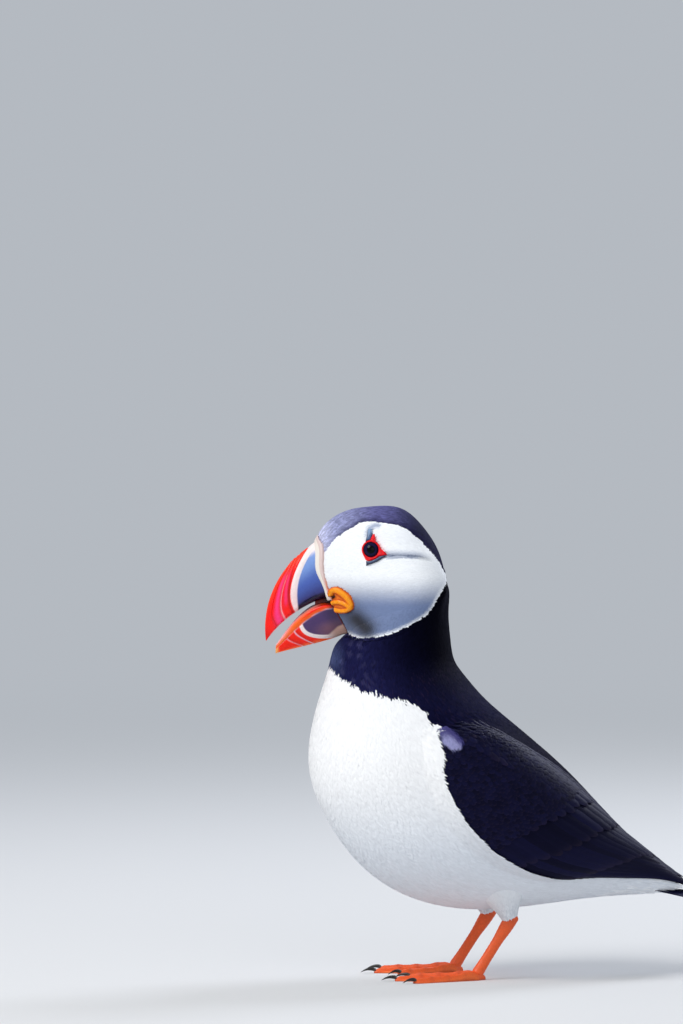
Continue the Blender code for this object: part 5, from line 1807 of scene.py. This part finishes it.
white_feathers = feather_finish("white feathers", (0.70, 0.92), 0.04, 0.16, (0.25, 0.04),
                                Sheen_Weight=0.10,
                                Sheen_Roughness=0.5)
black_feathers = feather_finish("black feathers", (0.60, 0.80), 0.20, 0.16, (0.4, 0.04),
                                Sheen_Weight=0.02,
                                Sheen_Roughness=0.40, Sheen_Tint=(0.10, 0.10, 0.9, 1),
                                Specular_IOR_Level=0.03, Specular_Tint=(0.45, 0.45, 1, 1))
vane_feathers = feather_finish("wing feathers", (0.45, 0.62), 0.18, 0.30, (0.4, 0.05),
                               Sheen_Weight=0.03,
                               Sheen_Roughness=0.40, Sheen_Tint=(0.15, 0.15, 0.9, 1),
                               Specular_IOR_Level=0.12, Specular_Tint=(0.45, 0.45, 1, 1))
print("feather finishes:", white_feathers.name, black_feathers.name, vane_feathers.name)

# %% [markdown]
# ## Feathers of the head
# These are the smallest, half a millimetre apart, and point back from the bill, down over the cheek.
# What shows of a feather is its tip, so it takes the colour of the place there. One whose tip would lie
# on a lid, the rosette or a plate is shortened until it stays clear.
# %% Lay the head's feathers
def head_pitch(points):
    """Feathers are closest together near bill and eye."""
    return 0.46 + 0.12 * ease((points[..., 1] + 34) / 34)


def lay_head():
    place, angle, gap, rng = scatter(head_surface, (0.02, 7.8), (-pi, pi), head_pitch, 11)
    depth = coat_depth(head_surface(place, angle, 0.0)[:, 2]).clip(0, 1.0)
    keep = on_plumage(head_surface(place, angle, -depth), 0.35)
    keep &= ~on_bare(head_surface(place, angle, 0.0))
    place, angle, gap, depth = only(keep, place, angle, gap, depth)
    count = len(place)
    spot = head_surface(place, angle, 0.0)
    low = ease((172 - spot[:, 2]) / 22) * ease((spot[:, 1] + 40) / 22)
    turn = np.sign(angle) * np.radians(26) * low * (np.abs(angle) < 2.6) + rng.normal(0, 0.13, count)
    length = gap * (4.2 + 1.6 * ease((spot[:, 1] + 45) / 40)) * rng.uniform(0.85, 1.15, count)
    length = length * (1 - 0.35 * ease((5 - disc_depth(spot)) / 3) * (spot[:, 2] < 172))
    length = length * (1 - 0.50 * bell((disc_depth(spot) + 1) / 3) * ease((spot[:, 1] + 12) / 6))
    for shorter in (0.75, 0.7, 0.6, 0.5):
        length = np.where(on_bare(tips_of(place, angle, turn, length)), length * shorter, length)
    keep = ~on_bare(tips_of(place, angle, turn, length))
    _, _, spot = shown_end(head_surface, place, angle, turn, length, 7.95)
    return only(keep, place, angle, gap, depth, spot, turn, length) + [rng]


place, angle, gap, depth, spot, turn, length, rng = lay_head()
ragged = rng.normal(0, 0.10, len(place))
colour = head_colour(spot, ragged)
pale = (disc_depth(spot) + ragged > 0) & ~((np.abs(spot[:, 0]) < 5) & (spot[:, 2] < 150))
colour = colour * np.where(pale, rng.normal(1, 0.025, len(place)),
                           rng.normal(1, 0.13, len(place)))[:, None]
streak = np.sin(spot[:, 1] * 1.3 + 2.2 * np.sin(spot[:, 0] * 0.9) + 3 * np.sin(angle * 23))
colour = colour * np.where(pale, 1.0, 1 + 0.16 * streak)[:, None]
proud = rng.uniform(-0.01, 0.05, len(place))
behind = ease((spot[:, 1] + 12) / 6) * (spot[:, 2] > 165)
proud = proud - 0.14 * pale * behind * ease((3.0 - disc_depth(spot)) / 2)
feathers = (place, angle, turn, length, FEATHER_WIDE * gap, depth, proud, colour)
for word, chosen, plumage in (("face", pale & (spot[:, 0] > 0), "white"),
                              ("face_far", pale & (spot[:, 0] <= 0), "white"),
                              ("crown", ~pale, "black")):
    kites("coat_" + word, head_surface, rng, plumage, feathers, chosen)

# %% [markdown]
# ## Feathers of neck, breast and belly
# Down the neck the feathers grow to about four millimetres and become looser. Each asks for its colour
# where its tip lies, with a little chance added, so the collar's edge comes out finely ragged. The few
# that belong to the disc lie along its rim, which keeps it clean.
# %% Lay the body's feathers
def body_pitch(points):
    return 0.60 + 0.16 * ease((140 - points[..., 2]) / 40)


def lay_body(surface, places, angles, pitch, seed, reach):
    """Roots of one stretch of the body that lie on feathered skin, with their depth."""
    place, angle, gap, rng = scatter(surface, places, angles, pitch, seed)
    turned = (angle + pi) % (2 * pi) - pi
    spot = surface(place, turned, 0.0)
    depth = coat_depth(spot[:, 2])
    _, lower = wing_edges(place)
    beside_wing = (np.abs(np.abs(np.degrees(turned)) - lower) < 8) & (place > 6.8) & (place < 15)
    keep = on_plumage(surface(place, turned, -depth), np.where(beside_wing, 1.6, reach))
    return only(keep, place, turned, gap, depth, spot) + [rng]


def plume_colour(place, angle, spot, ragged, rng):
    ragged = np.where(spot[:, 2] > 140, 0.25 * ragged, ragged)
    colour, dark = body_colour(spot, place, angle, ragged), is_dark(spot, place, angle, ragged)
    worn = np.where(dark, rng.normal(1, 0.12, len(place)), rng.normal(1, 0.022, len(place)))
    warm = dark & (rng.random(len(place)) < 0.10) & (place > 4.5)
    colour = np.where(warm[:, None], mix(colour, paint("#33243a"), 0.2), colour)
    return colour * worn[:, None], dark


def body_length(gap, place, rng):
    return gap * (5.4 + 1.4 * ease((place - 8) / 6)) * rng.uniform(0.85, 1.15, len(place))


place, angle, gap, depth, spot, rng = lay_body(body_surface, (0.4, 6.6), (-pi, pi), body_pitch,
                                               21, 0.32)
ragged = rng.normal(0, 0.40, len(place))
length, width = body_length(gap, place, rng), FEATHER_WIDE * gap
on_rim = (spot[:, 2] > 140) & (disc_depth(spot) > -0.5) & (np.abs(spot[:, 0]) > 6)
length = np.where(on_rim, 0.65 * length, length)
turn = rng.normal(0, 0.12, len(place)) - np.sign(angle) * np.radians(70) * on_rim
colour, dark = plume_colour(*shown_end(body_surface, place, angle, turn, length), ragged, rng)
proud = rng.uniform(-0.03, 0.10, len(place))
for word, chosen, plumage in (("collar_left", dark & (angle > 0), "black"),
                              ("collar_right", dark & (angle <= 0), "black"), ("bib", ~dark, "white")):
    kites("coat_" + word, body_surface, rng, plumage,
          (place, angle, turn, length, width, depth, proud, colour), chosen)


# %% Breast, belly and vent
place, angle, gap, depth, spot, rng = lay_body(body_surface, (6.55, BODY_END - 0.05),
                                               (radians(40), radians(320)), body_pitch, 22, 0.32)
upper, lower = wing_edges(place)
degrees = np.abs(np.degrees(angle))
below_wing = (degrees > lower - 3) | (place > 15.2)
place, angle, gap, depth, spot, degrees = only(below_wing, place, angle, gap, depth, spot, degrees)
ragged = rng.normal(0, 1.2, len(place))
length, width = body_length(gap, place, rng), FEATHER_WIDE * gap
flank = bell((degrees - 92) / 16) * ease((place - 6.6) / 1.0)
turn = -np.sign(angle) * np.radians(14) * flank + rng.normal(0, 0.13, len(place))
length = length * (1 + 0.35 * flank)
colour, dark = plume_colour(*shown_end(body_surface, place, angle, turn, length), ragged, rng)
proud = rng.uniform(-0.03, 0.12, len(place)) + 0.25 * flank * rng.random(len(place))
for word, chosen in (("breast", ~dark & (place < 8.9)), ("belly",
                                                         ~dark & (place >= 8.9) & (place < 12.4)),
                     ("vent", ~dark & (place >= 12.4))):
    kites("coat_" + word, body_surface, rng, "white",
          (place, angle, turn, length, width, depth, proud, colour), chosen)

# %% [markdown]
# ## Back and rump
# The back's feathers are black, lie close and slope out over the folded wing's upper edge. They share
# the surface that carries the wing's swelling, so they ride up over it without a step.
# %% Lay the back
place, angle, gap, depth, spot, rng = lay_body(back_surface, (6.5, BODY_END - 0.02),
                                               (radians(-80), radians(80)),
                                               lambda p: 0.72 + 0 * p[..., 2], 31, 1.0)
upper, lower = wing_edges(place)
degrees = np.abs(np.degrees(angle))
reach_down = np.interp(
    place, (6.5, 6.9, 8.0, 9.2, 10.55, 12.5, 14.0, 15.5, 16.6), (77, 75, 66, 52, 40, 30, 24, 40, 48))
chosen = degrees < reach_down
place, angle, gap, depth, spot, degrees = only(chosen, place, angle, gap, depth, spot, degrees)
colour = dark_colour(spot) * rng.normal(1, 0.18, len(place))[:, None]
warm = rng.random(len(place)) < 0.10
colour = np.where(warm[:, None], mix(colour, paint("#33243a"), 0.2), colour)
length = gap * 6.0 * rng.uniform(0.85, 1.2, len(place))
turn = -np.sign(angle) * np.radians(16) * ease(degrees / 50) + rng.normal(0, 0.11, len(place))
proud = rng.uniform(-0.03, 0.12, len(place))
kites("coat_back", back_surface, rng, "black",
      (place, angle, turn, length, FEATHER_WIDE * gap, depth, proud, colour))


# %% Thighs
def thigh_side(side):
    """The surface of one thigh, by share down it and by angle round it."""
    hip, end = ANKLE + (-1.0, -3.5, 15.0), ANKLE + (0, -0.4, 1.4)
    axis, across, front = limb_axes(hip, end)

    def surface(share, angle, lift):
        share, angle = np.broadcast_arrays(np.asarray(share, float), np.asarray(angle, float))
        radius = spline((11.5, 10.0, 7.6, 5.2, 3.6), np.clip(share, 0, 1.3) * 4) + lift
        spoke = np.cos(angle)[..., None] * front + np.sin(angle)[..., None] * across
        points = hip + axis * (np.linalg.norm(end - hip) * share)[..., None] + radius[..., None] * spoke
        return points * (side, 1, 1)
    return surface


for side, word in SIDES:
    surface = thigh_side(side)
    place, angle, gap, rng = scatter(surface, (0.0, 1.0), (-pi, pi), 0.66, 41 + side, (60, 60))
    depth = np.full(len(place), LEG_COAT)
    keep = on_plumage(surface(place, angle, -depth), 0.35)
    place, angle, gap, depth = only(keep, place, angle, gap, depth)
    shade = mix(paint("#eceff3"), paint("#b9bfca"), 0.6 * rng.random(len(place)) * ease(place))
    length = gap * 4.6 * rng.uniform(0.8, 1.2, len(place)) * (1 - 0.35 * ease((place - 0.8) / 0.2))
    turn, proud = rng.normal(0, 0.15, len(place)), rng.uniform(-0.03, 0.12, len(place))
    kites("coat_thigh_" + word, surface, rng, "white",
          (place, angle, turn, length, FEATHER_WIDE * gap, depth, proud, shade))
print("small feathers:", sum(coat_triangles.values()), "triangles")

# %% [markdown]
# ## Broad feathers
# The big feathers of shoulder, wing and tail are told apart, so each gets a real outline: a closed
# shell, arched across, with a raised shaft, widest past its middle and rounded at the tip.
# %% A helper for broad feathers
def vane_grid(stations, columns):
    """Shares along and across a broad feather, its half width, and its faces as a closed shell."""
    t = 1 - (1 - np.linspace(0, 1, stations))**1.35
    c = np.linspace(-1, 1, columns)
    tip = dome((np.clip(t - 0.62, 0, 1) / 0.39)**2)
    half = (0.45 + 0.55 * ease(t / 0.45)) * np.maximum(tip, 0.14)
    i, j = pairs(np.arange(stations - 1) * columns, np.arange(columns - 1))
    top = stacked(i + j, i + j + 1, i + j + 1 + columns, i + j + columns).reshape(-1, 4)
    count = stations * columns
    i, j = np.arange(stations - 1) * columns, np.arange(columns - 1)
    last, right = (stations - 1) * columns, columns - 1
    edges = [stacked(i, i + columns, i + columns + count, i + count),
             stacked(i + right, i + right + count, i + right + columns + count, i + right + columns),
             stacked(j, j + count, j + 1 + count, j + 1),
             stacked(last + j, last + j + 1, last + j + 1 + count, last + j + count)]
    return t, c, half, np.concatenate([top, (top + count)[:, ::-1]] + edges)


def vanes(name, surface, root, tip, width, lifts, colour, rng, slot, size=(9, 5), thick=0.28):
    """One coat piece of broad feathers between roots and tips, each given by place and angle."""
    root, tip, lifts = np.asarray(root, float), np.asarray(tip, float), np.asarray(lifts, float)
    width = np.broadcast_to(np.asarray(width, float), len(root))
    t, c, half, quads = vane_grid(*size)
    line = root[:, None] + t[None, :, None] * (tip - root)[:, None]
    along, around = measures(surface, line[..., 0], line[..., 1])
    step = (tip - root)[:, None] * stacked(along, around)
    step = unit(step)
    beside = stacked(-step[..., 1] / along, step[..., 0] / around)
    off = c[None, None] * (half[None, :, None] * 0.5 * width[:, None, None])
    spot = line[:, :, None] + off[..., None] * beside[:, :, None]
    lift = lifts[:, :1] + (lifts[:, 1:] - lifts[:, :1]) * t[None]**0.8
    arch = (0.05 * width[:, None, None] * (1 - c**2) + 0.10 * bell(c / 0.12)) * half[None, :, None]
    split = 0.05 * np.sin(off * 5.0 + t[None, :, None] * 7 + rng.uniform(0, 6, (len(root), 1, 1)))
    high = lift[..., None] + arch + split * t[None, :, None]
    thin = thick * (1 - 0.6 * c**2) * (0.4 + 0.6 * np.minimum(1, half))[:, None]
    points = np.stack([surface(spot[..., 0], spot[..., 1], high),
                       surface(spot[..., 0], spot[..., 1], high - thin)], axis=1).reshape(-1, 3)
    # paler worn edges and tip and a darker shaft; the darkening towards the root is painted shade where the
    # feather lies under the one before
    edge = 1 + 0.10 * np.abs(c)[None]**3 + 0.16 * ease((t[:, None] - 0.7) / 0.3)
    shade = (0.72 + 0.28 * ease(t / 0.5))[:, None] * edge - 0.10 * bell(c / 0.15)[None]
    tint = colour[:, None, None, None] * shade[None, None, ..., None]
    tip_share = 0.30 * ease((t - 0.86) / 0.14)[None, None, :, None] + 0 * shade[None, None]
    tint = mix(tint, WORN_TIP + 0 * tint, tip_share) if slot == "black_plumage" else tint
    tint = np.repeat(tint, 2, axis=1).reshape(-1, 3)
    if left_handed(surface, root[:1, 0], root[:1, 1]):
        quads = quads[:, ::-1]
    start = (2 * len(t) * len(c)) * np.arange(len(root))[:, None, None]
    mesh = mesh_of(name, points, [(quads[None] + start).reshape(-1, 4)], tint)
    patch = stacked(0.5 * half[:, None] * c[None], (t - 0.5)[:, None] + 0 * c[None])
    patch = np.stack([patch, 0.72 * patch]) * PATCH
    coat_uv(mesh, "OFBake", (unwrap(root[:, 0], root[:, 1])[:, None, None, None] + patch[None]).reshape(-1, 2))
    length = np.linalg.norm((tip - root) * stacked(along[:, 0], around[:, 0]), axis=-1)
    barbs = stacked(np.abs(off), t[None, :, None] * length[:, None, None] + 0 * off)
    coat_uv(mesh, "barbs", np.repeat(barbs[:, None], 2, axis=1).reshape(-1, 2))
    mesh.set_sharp_from_angle(angle=radians(50))
    piece = stand(name, mesh, vane_feathers if slot == "black_plumage" else white_feathers)
    coat_triangles[name] = 2 * len(quads) * len(root)
    print(f"{name}: {len(root)} feathers, {coat_triangles[name]} triangles")


WORN_TIP = paint("#2e2430")

# %% [markdown]
# ## The folded wing
# A folded wing shows its feathers in rows, each over the roots of the next: small coverts, two rows of
# larger ones, the secondaries, and the long primaries, which slide together into one point. A place
# along the wing and a share across it name any spot on it.
# %% The wing's surface and its rows
SCAPULAR_EDGE = np.array([(6.6, 76), (8.0, 70), (9.2, 61), (10.55, 48), (12.5, 38), (14.0, 30),
                          (15.2, 22)])
LILAC, LILAC_PALE = paints("#4c4880 #a4a4d0")
# corners, by place and degrees, of the lilac patch and of the white that laps over the wing
LILAC_PATCH = np.array([(6.70, 73.5), (7.05, 72.0), (7.50, 70.5), (7.90, 71.5), (8.10, 75.5),
                        (8.00, 80.0),
                        (7.60, 81.0), (7.25, 78.0), (6.90, 75.5)])
WHITE_LAP = np.array([(6.7, 78.5), (7.1, 81.5), (7.45, 84.0), (7.75, 85.5), (8.0, 87.0), (8.15, 90.0),
                      (8.4, 99), (6.5, 99)])


def wing_side(side):
    """The outer surface of one folded wing, by place along it and share across it."""
    def surface(place, across, lift):
        place, across = np.broadcast_arrays(np.asarray(place, float), np.asarray(across, float))
        upper, lower = wing_edges(place)
        angle = side * np.radians(upper + across * (lower - upper))
        return raised(BODY_SECTIONS, place, angle, wing_height(place, across) + lift)
    return surface


def back_side(side):
    """The back's surface on one side, by place and by degrees from its middle."""
    def surface(place, degrees, lift):
        return back_surface(place, side * np.radians(degrees), lift)
    return surface


def wing_row(count, tips, length, width, lifts, spans, rng):
    """Roots, tips, widths and lifts of one row, its tips slanting back towards the upper edge."""
    across = np.linspace(*spans, count)
    tip_place = tips[0] + (tips[1] - tips[0]) * (1 - across) + rng.normal(0, 0.03, count)
    root = stacked(tip_place - length / 10.5, across + 0.02)
    tip = stacked(tip_place, across)
    order = 0.10 * np.linspace(0, 1, count)[:, None]
    return root, tip, np.full(count, width), np.array(lifts)[None] - order


def wing_feathers(side, word):
    surface = wing_side(side)
    rng = np.random.default_rng(60 + side)
    place, across, *_ = scatter(surface, (6.98, 10.9), (0.0, 0.955), 1.75, 61 + side, (80, 60))
    size = 1 + 0.5 * ease((place - 7.4) / 3.0)
    forward, _ = ahead(surface, place, across, rng.normal(0.03, 0.07, len(place)), 4.4 * size)
    root = stacked(place, across)
    rows = [(root, root + forward, 2.7 * size, np.tile((-0.75, 0.10), (len(place), 1)))]
    rows.append(wing_row(13, (11.0, 11.9), 12.0, 6.2, (-0.9, 0.0), (0.02, 0.95), rng))
    rows.append(wing_row(13, (12.1, 13.2), 17.0, 7.0, (-1.1, -0.12), (0.0, 0.94), rng))
    rows.append(wing_row(14, (13.5, 15.3), 26.0, 7.6, (-1.4, -0.32), (0.02, 0.93), rng))
    k = np.arange(8)
    tip = stacked(15.1 + 2.42 * (k / 7)**0.85, 0.22 + 0.064 * k)
    root = stacked(np.full(8, 12.2), 0.36 + 0.080 * k)
    rows.append((root, tip, 7.4 - 0.25 * k, stacked(-1.5 - 0.16 * k, -0.5 - 0.17 * k)))
    tip = np.array([(15.7, 0.02), (16.35, 0.06), (16.9, 0.22)])
    root = np.array([(12.6, 0.04), (13.0, 0.08), (13.4, 0.14)])
    rows.append((root, tip, np.full(3, 7.0), np.array([(-1.3, -0.4), (-1.5, -0.75), (-1.7, -1.0)])))
    edge = np.array([0.90, 0.97])
    rows.append((stacked([11.6, 12.2], edge), stacked([16.2, 17.0], [0.82, 0.72]),
                 np.full(2, 5.5), np.tile((-1.7, -1.9), (2, 1))))
    small = len(rows[0][0])
    for number, part in enumerate((rows[:1], rows[1:])):
        root, tip, width, lifts = (np.concatenate([row[i] for row in part]) for i in range(4))
        upper, lower = wing_edges(root[:, 0])
        degrees = upper + root[:, 1] * (lower - upper)
        colour = mix(INK, SLATE, 0.35 * rng.random(len(root))) * rng.normal(1, 0.10, len(root))[:, None]
        spots = stacked(root[:, 0], degrees)
        colour[inside_outline(spots, WHITE_LAP)] = BREAST
        vanes(f"wing_{('coverts', 'quills')[number]}_{word}", surface, root, tip, width, lifts, colour,
              rng, "black_plumage", size=((6, 3), (12, 7))[number])
    return small


for side, word in SIDES:
    small = wing_feathers(side, word)
print("each wing has about", small, "small coverts")

# %% [markdown]
# ## Shoulder feathers
# The scapulars hang over the wing's upper edge like a short cape, in rows that follow a clear line
# along it, the lowest row first and the others over it.
# %% Scapulars
def scapulars(side, word):
    rng = np.random.default_rng(80 + side)
    roots, tips, widths, lifts = [], [], [], []
    for row in range(SCAPULAR_ROWS):
        place = np.arange(7.35 + 0.13 * (row % 2), 15.1, 0.26)
        place = place + rng.normal(0, 0.03, len(place))
        grown = ease((place - 7.2) / 2.2)
        start = place - 0.55 - 0.35 * grown
        edge = np.interp(place, *SCAPULAR_EDGE.T) - 3.7 * row + rng.normal(0, 0.25, len(place))
        before = np.interp(start, *SCAPULAR_EDGE.T) - 3.7 * row - 5.0
        keep = edge > 5
        roots.append(stacked(start, before)[keep])
        tips.append(stacked(place, edge)[keep])
        widths.append((3.3 + 1.5 * grown[keep]) * (1 - 0.04 * row))
        lifts.append(np.tile((-0.75, 0.34 - 0.02 * row), (keep.sum(), 1)))
    root, tip, width, lift = map(np.concatenate, (roots, tips, widths, lifts))
    late = ease((tip[:, 0] - 13.5) / 1.5)
    lift[:, 1] -= 0.3 * late
    count = len(root)
    colour = mix(INK, SLATE, 0.15 + 0.30 * rng.random(count)) * rng.normal(1, 0.08, count)[:, None]
    colour = mix(colour, WORN_TIP, 0.20 * (rng.random(count) < 0.3))
    vanes("scapulars_" + word, back_side(side), root, tip, width, lift, colour, rng, "black_plumage",
          size=(8, 5), thick=0.20)


SCAPULAR_ROWS = 8
for side, word in SIDES:
    scapulars(side, word)

# %% [markdown]
# ## White tufts in front of the wing
# Where the flank meets the bend of the wing, white feathers curl up over its edge and tuck it in, and a
# small lilac patch shows behind them. They keep the border between white and black soft.
# %% Tufts over the wing's edge
def edge_surface(side):
    """The body beside the wing, rising over the wing's lower edge."""
    def surface(place, degrees, lift):
        place, degrees = np.broadcast_arrays(np.asarray(place, float), np.asarray(degrees, float))
        upper, lower = wing_edges(place)
        share = np.clip((lower - degrees) / np.maximum(lower - upper, 1), 0, 1)
        over = (wing_height(place, 1 - share) + 0.60) * ease((lower + 6.5 - degrees) / 6.5)
        over = over * ease((place - 6.75) / 0.5)
        return raised(BODY_SECTIONS, place, side * np.radians(degrees), over + lift)
    return surface


def tufts(side, word):
    """White feathers along the wing's lower edge, and the white that laps over its bend."""
    surface = edge_surface(side)
    at, degrees, gap, rng = scatter(surface, (6.6, 13.2), (70.0, 110.0), 0.62, 90 + side, (120, 60))
    _, lower = wing_edges(at)
    lap = inside_outline(stacked(at, degrees), WHITE_LAP)
    keep = lap | ((degrees > lower - 1.6) & (degrees < lower + 8))
    at, degrees, gap, lap, lower = only(keep, at, degrees, gap, lap, lower)
    length = np.where(lap, 4.2, 3.4) * rng.uniform(0.85, 1.15, len(at))
    turn = np.radians(-np.where(lap, 12, 16) + rng.normal(0, 8, len(at)))
    colour = white_colour(surface(at, degrees, 0.0)) * rng.normal(1, 0.02, len(at))[:, None]
    depth, proud = np.full(len(at), 1.0), rng.uniform(0.0, 0.2, len(at))
    kites("coat_tuft_" + word, surface, rng, "white",
          (at, degrees, turn, length, FEATHER_WIDE * gap, depth, proud, colour))


def lilac_patch(side, word):
    """The small soft patch of lilac feathers behind the white, on the bend of the wing."""
    surface = wing_side(side)
    at, across, gap, rng = scatter(surface, (6.7, 8.3), (0.0, 0.98), 0.50, 95 + side, (60, 60))
    upper, lower = wing_edges(at)
    spots = stacked(at, upper + across * (lower - upper))
    shown = spots + (0.22, 0.8)
    keep = inside_outline(shown, LILAC_PATCH) & (at > 6.98)
    at, across, gap, shown = only(keep, at, across, gap, shown)
    inner = distance_to_line(shown * (10.0, 0.7),
                             np.vstack([LILAC_PATCH, LILAC_PATCH[:1]]) * (10.0, 0.7))
    pale = ease((shown[:, 0] - 7.15) / 0.45) * ease((shown[:, 1] - 72.5) / 3.5)
    colour = mix(LILAC, LILAC_PALE, pale * (0.75 + 0.25 * rng.random(len(at))))
    colour = mix(SLATE, colour, ease((inner + 0.2) / 1.1))
    turn, length = rng.normal(0.35, 0.10, len(at)), rng.uniform(2.6, 3.4, len(at))
    depth, proud = np.full(len(at), 0.2), 0.42 + 0.12 * rng.random(len(at))
    kites("coat_lilac_" + word, surface, rng, "black",
          (at, across, turn, length, FEATHER_WIDE * gap, depth, proud, colour))


for side, word in SIDES:
    tufts(side, word)
    lilac_patch(side, word)

# %% [markdown]
# ## The tail
# A puffin's tail is short, black and square. Its feathers spread from one root like a hand of cards,
# the middle pair on top, with coverts over their roots, black above and white below.
# %% Tail feathers
def tail_surface(share, across, lift):
    share, across = np.broadcast_arrays(np.asarray(share, float), np.asarray(across, float))
    half = TAIL_ROOT_HALF + share * (TAIL_TIP_HALF - TAIL_ROOT_HALF)
    x = across * half
    y, z = tail_middle(share, x)
    return stacked(x, y, z + lift)


def tail_feathers():
    rng = np.random.default_rng(100)
    spread = np.linspace(-0.84, 0.84, 14)
    spread = spread[np.argsort(-np.abs(spread))]
    root = stacked(np.full(14, -0.05), spread * 0.62)
    tip = stacked(1.0 - 0.10 * np.abs(spread)**2.2 - rng.uniform(0, 0.012, 14), spread)
    high = 1.5 * (1 - np.abs(spread))
    lifts = stacked(high * 0.9 + 0.2, high - 0.5)
    colour = mix(INK, SLATE, 0.5 * rng.random(14)) * rng.normal(1, 0.1, 14)[:, None]
    vanes("tail_feathers", tail_surface, root, tip, np.full(14, 6.4), lifts, colour, rng,
          "black_plumage", size=(13, 7), thick=0.4)


tail_feathers()


# %% Tail coverts
def tail_coverts():
    rng = np.random.default_rng(101)
    for word, count, low, high, colour, plumage in (("upper", 260, -40, 40, INK, "black"),
                                                    ("lower", 420, 62, 298, paint("#eef1f5"), "white")):
        at = rng.uniform(15.3, 16.75, count)
        angle = np.radians(rng.uniform(low, high, count))
        shade = colour * rng.normal(1, 0.05, count)[:, None]
        kites("coat_tail_" + word, body_surface, rng, plumage,
              (at, angle, rng.normal(0, 0.10, count), rng.uniform(6.5, 9.5, count), np.full(count, 2.4),
               np.full(count, 1.4), rng.uniform(0.0, 0.3, count), shade))


tail_coverts()
print("whole coat:", sum(coat_triangles.values()), "triangles, largest piece",
      max(coat_triangles.values()))

# %% [markdown]
# ## Floor and light
# The floor is plain and pale near the bird; far from it the floor glows with the air's own colour and
# brightness, so no line shows between them. A wide soft light in front whitens the breast as a bright
# sky would, a weaker one from the camera's side opens the shadows, and one from behind draws a faint
# rim along the back.
# %% Floor
floor_mesh = bpy.data.meshes.new("floor")
floor_mesh.from_pydata([(-30, -30, 0), (30, -30, 0), (30, 30, 0), (-30, 30, 0)], [], [(0, 1, 2, 3)])
in_scene("floor", floor_mesh)
AIR, AIR_LIGHT = (0.74, 0.79, 0.86, 1), 0.62
floor_finish = bpy.data.materials.new("pale floor")
floor_finish.use_nodes = True
tree = floor_finish.node_tree
floor_shader = tree.nodes["Principled BSDF"]
feed(tree, floor_shader, {"Base Color": (0.72, 0.72, 0.72, 1), "Roughness": 0.9,
                          "Specular IOR Level": 0.1})
# far from the bird the floor glows with the air's own colour and brightness
far_floor_glow = node(tree, "Emission", {"Color": AIR, "Strength": AIR_LIGHT}, "Emission")
away = node(tree, "VectorMath", {0: node(tree, "TexCoord", {}, "Object")}, "Value", operation="LENGTH")
fade = node(tree, "MapRange", {"Value": away, "From Min": 0.35, "From Max": 2.4}, "Result",
            interpolation_type="SMOOTHSTEP")
blend = node(tree, "MixShader", {"Fac": fade, 1: floor_shader.outputs["BSDF"], 2: far_floor_glow}, "Shader")
feed(tree, tree.nodes["Material Output"], {"Surface": blend})
floor_mesh.materials.append(floor_finish)
print("floor:", len(floor_mesh.polygons), "face")


# %% Lights
def soft_light(name, at, size, power, tone):
    lamp = bpy.data.lights.new(name, "AREA")
    lamp.shape, lamp.size, lamp.energy, lamp.color = "DISK", size, power, tone
    holder = in_scene(name, lamp)
    holder.location = at
    holder.rotation_euler = (Vector((0, 0, 0.11)) - Vector(at)).to_track_quat("-Z", "Y").to_euler()


soft_light("sky light", (0.55, -1.3, 1.55), 1.1, 24.0, (1.0, 0.985, 0.96))
soft_light("side light", (1.7, -0.1, 0.7), 1.2, 3.0, (0.88, 0.93, 1.0))
soft_light("rim light", (-0.9, 1.0, 1.1), 0.8, 12.0, (0.86, 0.90, 1.0))
world = bpy.data.worlds.new("studio air")
bpy.context.scene.world = world
world.use_nodes = True
feed(world.node_tree, world.node_tree.nodes["Background"], {"Color": AIR, "Strength": AIR_LIGHT})
bpy.context.scene.view_settings.view_transform = "Standard"
print("three soft lights and an even sky")
